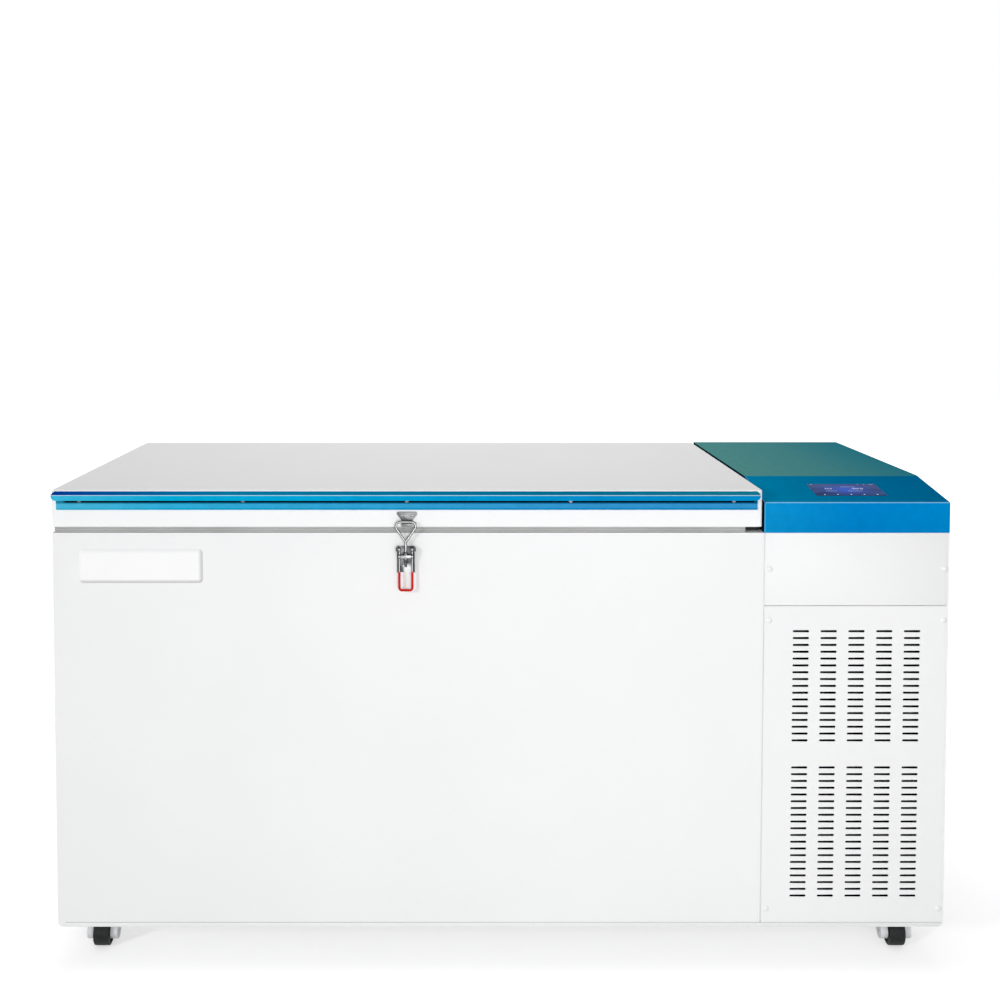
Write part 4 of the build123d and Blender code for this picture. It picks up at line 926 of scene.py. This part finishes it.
def plateRing(bm, centre, inset, depth):
    look = namePlate
    halfWidth, halfHeight = look["width"] * mm / 2 - inset, look["height"] * mm / 2 - inset
    radius = max(look["corner"] * mm - inset, look["leastCorner"] * mm)
    ring = []
    for quarter, (toRight, toTop) in enumerate(((1, 1), (-1, 1), (-1, -1), (1, -1))):
        for step in range(look["turns"] + 1):
            turn = wholeTurn / 4 * (quarter + step / look["turns"])
            x = toRight * (halfWidth - radius) + radius * math.cos(turn)
            z = toTop * (halfHeight - radius) + radius * math.sin(turn)
            ring.append(bm.verts.new(centre + Vector((x, -depth, z))))
    return ring


def makeNamePlate():
    look = namePlate
    low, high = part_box("outer_casing")
    x = low.x + (look["left"] + look["width"] / 2) * mm
    z = high.z - (look["drop"] + look["height"] / 2) * mm
    bm = bmesh.new()
    rings = []
    for step in range(look["steps"] + 1):
        share = step / look["steps"]
        inset, depth = look["edge"] * mm * share, look["thick"] * mm * (1 - (1 - share) ** 2)
        rings.append(plateRing(bm, Vector((x, low.y, z)), inset, depth))
    bridgeRings(bm, rings)
    tidy(bm)
    finishPiece("namePlate", bm, "cabinet", "white_plastic", material=plasticWithPaintedShade("platePlastic", look))


makeNamePlate()
print("name plate made")


# A black sheet of painted shade in the handle's finger channel, and the screws in the channel

channelLook = {
    "left": 23.3, "right": 7.7, "low": 27.2, "high": 18.0, "back": 2.0, "thick": 0.5,
    "corner": 2.5, "segments": 4,
}
handleScrews = {
    "xs": (-909.0, -556.0, -203.0, 150.0, 501.5), "drop": 23.8, "radius": 4.4, "height": 2.4, "back": 2.5,
}


def makeChannelShadeSheet():
    look = channelLook
    low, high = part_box("lid_handle")
    lidLow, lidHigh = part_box("lid_outer_pan")
    back = lidLow.y - look["back"] * mm
    bm = bmesh.new()
    verts = addBlock(
        bm,
        (low.x + look["left"] * mm, back - look["thick"] * mm, lidHigh.z - look["low"] * mm),
        (high.x - look["right"] * mm, back, lidHigh.z - look["high"] * mm),
    )
    ends = [e for e in edgesOf(verts) if abs(e.verts[0].co.y - e.verts[1].co.y) > look["thick"] * mm / 2]
    roundOff(bm, ends, look["corner"] * mm, look["segments"])
    # painted shade: a black sheet where the channel is only in shadow
    finishPiece("channelShadeSheet", bm, "lid", "black_plastic", material=layered("channelShadeBlack", shadeBlackLook)[0])


def makeHandleScrews():
    look = handleScrews
    low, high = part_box("lid_outer_pan")
    y, z = low.y - look["back"] * mm, high.z - look["drop"] * mm
    places = [(x * mm, y, z) for x in look["xs"]]
    makeScrews("handleScrews", "lid", places, (0, -1, 0), look, plateMetal)


makeChannelShadeSheet()
makeHandleScrews()
print("handle channel made")


# Wires, grip and fixings of the toggle latch

latchLook = {
    "wire": 2.6, "loopWidth": 60.5, "loopCorner": 10.0, "loopHeight": 42.0, "loopBend": 12,
    "shank": 2.8, "thread": 0.35, "pitch": 1.25, "threadLength": 34.0, "threadStart": 0.3,
    "runOut": 0.6, "neck": 2.0, "neckShare": 0.6,
    "leverWire": 1.8, "leverWidth": 28.0, "leverCorner": 6.0, "leverBend": 10, "throw": 15.5,
    "eye": 4.5, "eyeWidth": 5.0, "eyeBore": 1.6, "eyeLip": 0.7, "eyeReach": 0.8,
    "grip": 2.6, "gripLength": 40.0, "gripTaper": 2.0, "gripSteps": (0.0, 0.3, 1.0),
    "gripStart": 1.05, "gripSwell": 1.9,
    "sides": 24, "leverSides": 20, "eyeSides": 28,
}
catchRivets = {
    "span": 22.0, "drop": 8.0, "radius": 2.6, "plate": 2.0, "sides": 24,
    "dome": ((0.0, 1.0), (0.25, 1.0), (0.5, 0.8), (0.62, 0.4), (0.66, 0.0)),
}
latchScrews = {"span": 15.0, "rise": 14.0, "radius": 2.8, "height": 1.6, "plate": 2.0}


def makeLatchLoop():
    look = latchLook
    low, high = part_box("latch_loop")
    wire = look["wire"] * mm
    x, y = (low.x + high.x) / 2, (low.y + high.y) / 2
    barZ = high.z - wire
    apexZ = barZ - look["loopHeight"] * mm
    half = look["loopWidth"] * mm / 2
    bm = bmesh.new()
    outline = ((x - wire / 2, y, apexZ), (x - half, y, barZ), (x + half, y, barZ), (x + wire / 2, y, apexZ))
    addTube(bm, roundedPath(outline, look["loopCorner"] * mm, look["loopBend"]), wire, look["sides"])
    shank, thread, pitch = look["shank"] * mm, look["thread"] * mm, look["pitch"] * mm
    profile = [(0.0, 0.0), (0.0, shank - 2 * thread)]
    for turn in range(int(look["threadLength"] / look["pitch"])):
        start = (turn + look["threadStart"]) * pitch
        profile += [(start, shank - thread), (start + pitch / 2, shank)]
    length = apexZ - low.z + wire
    profile += [
        (profile[-1][0] + look["runOut"] * mm, shank),
        (length - look["neck"] * mm, shank),
        (length, shank * look["neckShare"]),
        (length, 0.0),
    ]
    lathe(bm, profile, (x, y, low.z), (0, 0, 1), look["sides"])
    tidy(bm)
    finishPiece("latchLoop", bm, "loop", "zinc", ["latch_loop"], wireWithPaintedReflection)


def makeLatchLever():
    look = latchLook
    low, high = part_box("latch_lever")
    wire, eye = look["leverWire"] * mm, look["eye"] * mm
    x, y = (low.x + high.x) / 2, (low.y + high.y) / 2
    half = look["leverWidth"] * mm / 2
    pivotZ, lowZ = high.z - eye, low.z + wire
    topZ = pivotZ - eye * look["eyeReach"]
    bm = bmesh.new()
    outline = ((x - half, y, topZ), (x - half, y, lowZ), (x + half, y, lowZ), (x + half, y, topZ))
    addTube(bm, roundedPath(outline, look["leverCorner"] * mm, look["leverBend"]), wire, look["leverSides"])
    wide, bore, lip = look["eyeWidth"] * mm / 2, look["eyeBore"] * mm, look["eyeLip"] * mm
    ring = [
        (-wide, bore), (-wide, eye - lip), (-wide + lip, eye),
        (wide - lip, eye), (wide, eye - lip), (wide, bore),
    ]
    for z in (pivotZ, pivotZ - look["throw"] * mm):
        for side in (-half, half):
            lathe(bm, ring + ring[:1], (x + side, y, z), (1, 0, 0), look["eyeSides"])
    tidy(bm)
    finishPiece("latchLever", bm, "lever", "zinc", ["latch_lever"], wireWithPaintedReflection)
    return x, y, lowZ, half


def makeLatchGrip(x, y, lowZ, half):
    look = latchLook
    top = lowZ + look["gripLength"] * mm
    taper = look["gripTaper"] * mm
    outline = ((x - half, y, top), (x - half, y, lowZ), (x + half, y, lowZ), (x + half, y, top))
    middle = roundedPath(outline, look["leverCorner"] * mm, look["leverBend"])[1:-1]
    lead, tail = (
        [Vector((x + side, y, top - taper * share)) for share in look["gripSteps"]] for side in (-half, half)
    )
    full, slim = look["grip"] * mm, look["leverWire"] * mm * look["gripStart"]
    ends = [slim, (slim + full) / look["gripSwell"], full]
    bm = bmesh.new()
    addTube(bm, lead + middle + tail[::-1], ends + [full] * len(middle) + ends[::-1], look["sides"])
    tidy(bm)
    finishPiece("latchGrip", bm, "lever", "red_vinyl", ["latch_grip"])


def makeLatchFixings():
    look = catchRivets
    low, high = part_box("catch_plate")
    midX, radius = (low.x + high.x) / 2, look["radius"] * mm
    bm = bmesh.new()
    for side in (-0.5, 0.5):
        place = (midX + side * look["span"] * mm, high.y - look["plate"] * mm, high.z - look["drop"] * mm)
        lathe(bm, sized(look["dome"], radius, radius), place, (0, -1, 0), look["sides"])
    tidy(bm)
    finishPiece("catchRivets", bm, "lid", "zinc")
    look = latchScrews
    low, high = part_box("latch_base")
    y, z = high.y - look["plate"] * mm, low.z + look["rise"] * mm
    places = [(midX + side * look["span"] * mm, y, z) for side in (-0.5, 0.5)]
    makeScrews("latchScrews", "cabinet", places, (0, -1, 0), look)


makeLatchLoop()
makeLatchGrip(*makeLatchLever())
makeLatchFixings()
print("latch made")


# Pale seals between the front sheets, the bead above the base pan, and a black block of painted shade at the
# lid's end

panelSeals = {"side": 3.0, "end": 0.3, "split": 6.0, "back": 8.0}
baseSeam = {
    "height": 1.5, "proud": 0.12, "left": 16.0, "back": 0.5, "round": 0.1,
    "colour": (0.58, 0.58, 0.58), "shade": (0.493, 0.493, 0.493),
}
endShadeBlock = {"gap": 1.0, "front": 34.0, "thick": 10.0, "clear": 0.3, "round": 1.0}


def makePanelSeals():
    look = panelSeals
    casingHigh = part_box("outer_casing")[1]
    ventLow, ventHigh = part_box("vent_panel")
    upperLow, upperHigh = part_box("upper_front_panel")
    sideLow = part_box("side_panel")[0]
    front, back = ventLow.y, ventLow.y + look["back"] * mm
    bm = bmesh.new()
    for x0, x1, sunk in ((casingHigh.x, ventLow.x, look["side"]), (ventHigh.x, sideLow.x, look["end"])):
        addBlock(bm, (x0, front + sunk * mm, ventLow.z), (x1, back, upperHigh.z))
    addBlock(bm, (ventLow.x, front + look["split"] * mm, ventHigh.z), (ventHigh.x, back, upperLow.z))
    finishPiece("panelSeals", bm, "cabinet", "white_plastic")


def makeBaseSeam():
    look = baseSeam
    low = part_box("outer_casing")[0]
    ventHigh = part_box("vent_panel")[1]
    half = look["height"] * mm / 2
    bm = bmesh.new()
    addRoundedBlock(
        bm,
        (low.x + look["left"] * mm, low.y - look["proud"] * mm, low.z - half),
        (ventHigh.x, low.y + look["back"] * mm, low.z + half),
        look["round"] * mm,
    )
    bead = {**gasketLook, "colour": look["colour"], "shade": look["shade"]}
    finishPiece("baseSeam", bm, "cabinet", "grey_rubber", material=layered("sealant", bead)[0])


def makeEndShadeBlock():
    # painted shade: a black block in the hollow behind the gasket's end
    look = endShadeBlock
    casingLow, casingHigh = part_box("outer_casing")
    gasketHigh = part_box("lid_gasket")[1]
    lidLow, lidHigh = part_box("lid_outer_pan")
    front, clear = casingLow.y + look["front"] * mm, look["clear"] * mm
    bm = bmesh.new()
    addRoundedBlock(
        bm,
        (gasketHigh.x + look["gap"] * mm, front, casingHigh.z + clear),
        (lidHigh.x, front + look["thick"] * mm, lidLow.z - clear),
        look["round"] * mm,
    )
    finishPiece("endShadeBlock", bm, "cabinet", "black_rubber")


makePanelSeals()
makeBaseSeam()
makeEndShadeBlock()
print("seams made")


# Back: filter mat of the machine compartment, screws, inlet pins

exhaustFilter = {"sheet": 1.6, "inset": 48.0, "thick": 4.0, "low": 270.0, "high": 510.0, "round": 1.0}
rearScrews = {"inset": 7.5, "shares": (0.03, 0.35, 0.66, 0.97), "radius": 4.0, "height": 2.4}
hingeScrews = {"middle": 35.0, "span": 22.0, "rises": (9.0, 33.0), "leaf": 3.0, "radius": 3.6, "height": 2.0}
inletPins = {
    "places": ((-7.0, -1.5), (7.0, -1.5), (0.0, 2.0)),
    "wide": 1.0, "high": 2.0, "front": 21.0, "back": 5.0, "round": 0.4,
}


def makeExhaustFilter():
    look = exhaustFilter
    low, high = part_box("compartment_rear_panel")
    inside, inset = high.y - look["sheet"] * mm, look["inset"] * mm
    bm = bmesh.new()
    addRoundedBlock(
        bm,
        (low.x + inset, inside - look["thick"] * mm, low.z + look["low"] * mm),
        (high.x - inset, inside, low.z + look["high"] * mm),
        look["round"] * mm,
    )
    finishPiece("exhaustFilter", bm, "cabinet", "black_plastic")


def makeRearScrews():
    look = rearScrews
    low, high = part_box("compartment_rear_panel")
    columns = (low.x + look["inset"] * mm, high.x - look["inset"] * mm)
    rows = [low.z + (high.z - low.z) * share for share in look["shares"]]
    makeScrews("rearScrews", "cabinet", [(x, high.y, z) for x in columns for z in rows], (0, 1, 0), look)


def makeHingeScrews(body, leaves):
    # counted up from the foot of the cabinet's leaves, and down from the top of the lid's
    look = hingeScrews
    low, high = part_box(leaves)
    middles = (low.x + look["middle"] * mm, high.x - look["middle"] * mm)
    start, way = (low.z, 1) if body == "cabinet" else (high.z, -1)
    places = [
        (middle + side * look["span"] * mm, low.y + look["leaf"] * mm, start + way * rise * mm)
        for middle in middles for side in (-1, 1) for rise in look["rises"]
    ]
    makeScrews("hingeScrews." + body, body, places, (0, 1, 0), look)


def makeInletPins():
    look = inletPins
    low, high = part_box("power_inlet")
    midX, midZ = (low.x + high.x) / 2, (low.z + high.z) / 2
    front, back = high.y - look["front"] * mm, high.y - look["back"] * mm
    wide, tall = look["wide"] * mm, look["high"] * mm
    bm = bmesh.new()
    for dx, dz in look["places"]:
        x, z = midX + dx * mm, midZ + dz * mm
        addRoundedBlock(bm, (x - wide, front, z - tall), (x + wide, back, z + tall), look["round"] * mm)
    finishPiece("inletPins", bm, "cabinet", "zinc")


makeExhaustFilter()
makeRearScrews()
makeHingeScrews("cabinet", "hinge_cabinet_leaves")
makeHingeScrews("lid", "hinge_lid_leaves")
makeInletPins()
print("back details made")


# Bellows gasket: rounded folds swept round the lid

gasketPlan = {
    "folds": 3, "groove": 1.8, "fullness": 0.6, "steps": 6, "width": 26.0,
    "corners": ((-1, -1), (1, -1), (1, 1), (-1, 1)),
}


def makeGasket():
    look = gasketPlan
    low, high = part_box("lid_gasket")
    midX, midY = (low.x + high.x) / 2, (low.y + high.y) / 2
    count = look["folds"] * look["steps"] * 2
    loops = []
    bm = bmesh.new()
    for side in ("outer", "inner"):
        for step in range(count + 1):
            share = step / count
            wave = 0.5 + 0.5 * math.cos(wholeTurn * look["folds"] * share + math.pi)
            inset = look["groove"] * mm * (1 - wave ** look["fullness"])
            if side == "inner":
                share, inset = 1 - share, look["width"] * mm - inset
            z = low.z + (high.z - low.z) * share
            halfX, halfY = (high.x - low.x) / 2 - inset, (high.y - low.y) / 2 - inset
            ring = [bm.verts.new((midX + sx * halfX, midY + sy * halfY, z)) for sx, sy in look["corners"]]
            loops.append([bm.edges.new(pair) for pair in zip(ring, ring[1:] + ring[:1])])
    for first, second in zip(loops, loops[1:] + loops[:1]):
        bmesh.ops.bridge_loops(bm, edges=first + second)
    tidy(bm)
    finishPiece("bellowsGasket", bm, "lid", "grey_rubber", ["lid_gasket"])


makeGasket()
print("gasket made")


# Caster wheels with a crowned tread and dished sides

wheelLook = {
    "shoulder": 2.6, "shoulderSteps": 6, "crown": 0.3, "crownShares": (0.75, 0.5, 0.25),
    "dish": 3.0, "slope": 1.5, "rim": 7.0, "hub": 11.0, "bore": 4.1, "steps": 64,
}


def makeWheel(corner):
    look = wheelLook
    low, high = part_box(f"caster_wheel_{corner}")
    centre = (low + high) / 2
    half = (high.x - low.x) / 2
    tread = (high.z - low.z) / 2
    shoulder, crown, slope = look["shoulder"] * mm, look["crown"] * mm, look["slope"] * mm
    hub, rim, dished = look["hub"] * mm, tread - look["rim"] * mm, half - look["dish"] * mm
    side = [(half, look["bore"] * mm), (half, hub), (dished, hub + slope), (dished, rim - slope), (half, rim)]
    for step in range(look["shoulderSteps"] + 1):
        turn = wholeTurn / 4 * step / look["shoulderSteps"]
        along = half - shoulder + shoulder * math.cos(turn)
        side.append((along, tread - crown - shoulder * (1 - math.sin(turn))))
    side += [((half - shoulder) * share, tread - crown * share ** 2) for share in look["crownShares"]]
    profile = side + [(0.0, tread)] + [(-along, radius) for along, radius in reversed(side)]
    bm = bmesh.new()
    lathe(bm, profile + profile[:1], centre, (1, 0, 0), look["steps"])
    tidy(bm)
    finishPiece(f"casterWheel.{corner}", bm, f"wheel_{corner}", "wheel_rubber", [f"caster_wheel_{corner}"])


for corner in corners:
    makeWheel(corner)
print("wheels made")


# Touch display: a glass face in the sloped cover, with plain figures

displayLook = {
    "width": 153.0,
    "depth": 87.0,
    "thick": 0.5,
    "proud": 0.5,
    "setback": 91.5,
    "shift": 1.8,
    "rise": 27.6,
    "run": 200.0,
    "edge": 0.4,
    "ink": 0.06,
}
screenLook = {
    "body": (0.006, 0.006, 0.012),
    "bodyTint": 0.06,
    "dark": ((0.3, (0.022, 0.040, 0.135)), (0.7, (0.055, 0.105, 0.30))),
    "sweep": 1.6,
    "sweepDetail": 3.0,
    "sweepScale": (9.0, 22.0, 1.0),
    "sweepTurn": 0.5,
    "halo": (0.05, 0.14, 0.74),
    "haloScale": (11.0, 17.0, 1.0),
    "glow": 0.7,
    "rough": 0.35,
    "specular": 0.004,
}
inkLook = {
    "colours": ((0.3, (0.70, 0.76, 0.90)), (0.7, (0.86, 0.90, 1.0))),
    "patch": 300.0,
    "glow": 0.30,
    "rough": 0.5,
}
displayMarks = {
    "figures": (("25.0", 7.0, -38.7, 6.0), ("-60.0", 9.5, 25.0, 6.0)),
    "digitShare": 0.7,
    "dots": (-58.0, -29.0, 0.0, 29.0, 58.0),
    "dotLine": -38.0,
    "dot": 1.8,
    "dotSides": 16,
    "bars": (
        (-69.0, 38.0, 5.0), (36.0, 38.0, 3.0), (50.0, 38.0, 3.0), (66.0, 38.0, 9.0),
        (8.6, 20.0, 32.0), (-36.0, -11.5, 24.0), (17.0, -11.5, 32.0),
    ),
    "barHeight": 1.0,
}


def displayMatrix():
    look = displayLook
    low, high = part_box("top_cover")
    slope = math.atan2(look["rise"], look["run"])
    along = look["setback"] * mm
    edgeZ = high.z - look["rise"] * mm
    x = (low.x + high.x) / 2 + look["shift"] * mm
    place = Vector((x, low.y + along * math.cos(slope), edgeZ + along * math.sin(slope)))
    return Matrix.Translation(place) @ Matrix.Rotation(slope, 4, "X")


def screenGlow():
    look = screenLook
    material, tree, shader, coords = startFinish("screenGlow")
    inverse = displayMatrix().inverted()
    local = placed(tree, coords, move=inverse.to_translation(), turn=inverse.to_euler())
    swept = placed(tree, local, scale=look["sweepScale"], turn=(0, 0, look["sweepTurn"]))
    dark = ramp(tree, noise(tree, swept, look["sweep"], look["sweepDetail"]), look["dark"])
    centred = {"Vector": placed(tree, local, scale=look["haloScale"])}
    halo = addNode(tree, "TexGradient", centred, gradient_type="QUADRATIC_SPHERE")["Fac"]
    lit = blended(tree, halo, dark, (*look["halo"], 1))
    setInputs(tree, shader, {
        "Base Color": blended(tree, look["bodyTint"], (*look["body"], 1), lit),
        "Emission Color": lit,
        "Emission Strength": look["glow"],
        "Roughness": look["rough"],
        "Specular IOR Level": look["specular"],
    })
    return material


def screenInk():
    look = inkLook
    material, tree, shader, coords = startFinish("screenInk")
    tone = ramp(tree, noise(tree, coords, look["patch"]), look["colours"])
    setInputs(tree, shader, {
        "Base Color": tone,
        "Emission Color": tone,
        "Emission Strength": look["glow"],
        "Roughness": look["rough"],
    })
    return material


def makeDisplay():
    look = displayLook
    bm = bmesh.new()
    halfW, halfD = look["width"] * mm / 2, look["depth"] * mm / 2
    low, high = look["proud"] * mm, (look["proud"] + look["thick"]) * mm
    addBlock(bm, (-halfW, -halfD, low), (halfW, halfD, high))
    top = [e for e in bm.edges if all(v.co.z > (low + high) / 2 for v in e.verts)]
    roundOff(bm, top, look["edge"] * mm)
    bmesh.ops.transform(bm, matrix=displayMatrix(), verts=bm.verts)
    finishPiece("displayFace", bm, "cabinet", "display_glass", material=screenGlow())


def addFigures(bm, words, height, x, y):
    curve = bpy.data.curves.new("figures", "FONT")
    curve.body = words
    curve.size = height * mm / displayMarks["digitShare"]
    curve.align_x, curve.align_y = "CENTER", "CENTER"
    holder = placeObject("figures", curve)
    bpy.context.view_layer.update()
    mesh = bpy.data.meshes.new_from_object(holder.evaluated_get(bpy.context.evaluated_depsgraph_get()))
    before = set(bm.verts)
    bm.from_mesh(mesh)
    bmesh.ops.translate(bm, verts=[v for v in bm.verts if v not in before], vec=(x * mm, y * mm, 0))
    bpy.data.objects.remove(holder)
    bpy.data.meshes.remove(mesh)


def makeDisplayMarks():
    look, marks = displayLook, displayMarks
    bm = bmesh.new()
    for figure in marks["figures"]:
        addFigures(bm, *figure)
    for x in marks["dots"]:
        ring = bmesh.ops.create_circle(
            bm, cap_ends=True, segments=marks["dotSides"], radius=marks["dot"] * mm,
        )["verts"]
        bmesh.ops.translate(bm, verts=ring, vec=(x * mm, marks["dotLine"] * mm, 0))
    for x, y, width in marks["bars"]:
        bar = bmesh.ops.create_grid(bm, x_segments=1, y_segments=1, size=0.5)["verts"]
        bmesh.ops.scale(bm, verts=bar, vec=(width * mm, marks["barHeight"] * mm, 1))
        bmesh.ops.translate(bm, verts=bar, vec=(x * mm, y * mm, 0))
    lift = (look["proud"] + look["thick"] + look["ink"]) * mm
    bmesh.ops.transform(bm, matrix=displayMatrix() @ Matrix.Translation((0, 0, lift)), verts=bm.verts)
    finishPiece("displayMarks", bm, "cabinet", "display_glass", material=screenInk())


makeDisplay()
makeDisplayMarks()
print("display made")


# Studio

studio = {
    "place": (-0.08893, -3.21756, 1.48846),
    "pitch": 2.902,
    "lens": 46.87,
    "sensor": 36.0,
    "shift": (0.0402, -0.1467),
    "ambient": 0.36,
    "floor": 14.0,
    "floorTone": (0.86, 0.86, 0.86),
    "floorRough": 0.8,
    "floorSpecular": 0.1,
    "glowReach": (1.2, 5.0),
    "glowLeast": 0.50,
    "softboxes": (
        ("keyBox", (-7.6, -8.4, 4.2), (-0.1, -0.43, 0.7), (1.0, 1.0), 335.0),
        ("frontBox", (0.5, -3.6, 0.95), (0.1, -0.43, 0.75), (1.2, 1.2), 37.0),
        ("topBox", (-0.2, 0.1, 4.2), (-0.2, 0.0, 0.9), (3.6, 2.4), 12.0),
        ("backBox", (0.0, 4.2, 3.8), (0.0, 0.4, 0.5), (3.0, 2.0), 68.0),
    ),
}


def addCamera():
    data = bpy.data.cameras.new("photoCamera")
    data.lens = studio["lens"]
    data.sensor_width = studio["sensor"]
    data.shift_x, data.shift_y = studio["shift"]
    camera = placeObject("photoCamera", data)
    camera.location = studio["place"]
    camera.rotation_euler = (math.radians(90 - studio["pitch"]), 0, 0)
    bpy.context.scene.camera = camera


def addSoftbox(name, place, target, size, watts):
    data = bpy.data.lights.new(name, "AREA")
    data.shape = "RECTANGLE"
    data.size, data.size_y = size
    data.energy = watts
    lamp = placeObject(name, data)
    lamp.location = place
    lamp.rotation_euler = (Vector(target) - Vector(place)).to_track_quat("-Z", "Y").to_euler()


def seenDirectly(tree):
    # 1 for the rays that show the floor or the backdrop, 0 for those that only light the object
    rays = addNode(tree, "LightPath", {})
    shown = computed(tree, "MAXIMUM", rays["Is Camera Ray"], rays["Is Glossy Ray"])
    return computed(tree, "MAXIMUM", shown, rays["Is Transmission Ray"])


def makeWorld():
    world = bpy.data.worlds.new("paleStudio")
    bpy.context.scene.world = world
    world.use_nodes = True
    tree = world.node_tree
    setInputs(tree, tree.nodes["Background"], {
        "Color": (1, 1, 1, 1),
        "Strength": ranged(tree, seenDirectly(tree), studio["ambient"], 1.0),
    })


def makeFloor():
    bm = bmesh.new()
    bmesh.ops.create_grid(bm, x_segments=2, y_segments=2, size=studio["floor"])
    floor = meshObject("floor", bm)
    material, tree, shader, coords = startFinish("paleFloor")
    distance = addNode(tree, "VectorMath", {0: coords}, operation="LENGTH")["Value"]
    spread = ranged(tree, distance, studio["glowLeast"], 1.0, *studio["glowReach"])
    setInputs(tree, shader, {
        "Base Color": (*studio["floorTone"], 1),
        "Roughness": studio["floorRough"],
        "Specular IOR Level": studio["floorSpecular"],
        "Emission Color": (1, 1, 1, 1),
        "Emission Strength": computed(tree, "MULTIPLY", spread, seenDirectly(tree)),
    })
    floor.data.materials.append(material)


addCamera()
for softbox in studio["softboxes"]:
    addSoftbox(*softbox)
makeWorld()
makeFloor()
bpy.context.scene.view_settings.view_transform = "Standard"
print("studio ready")
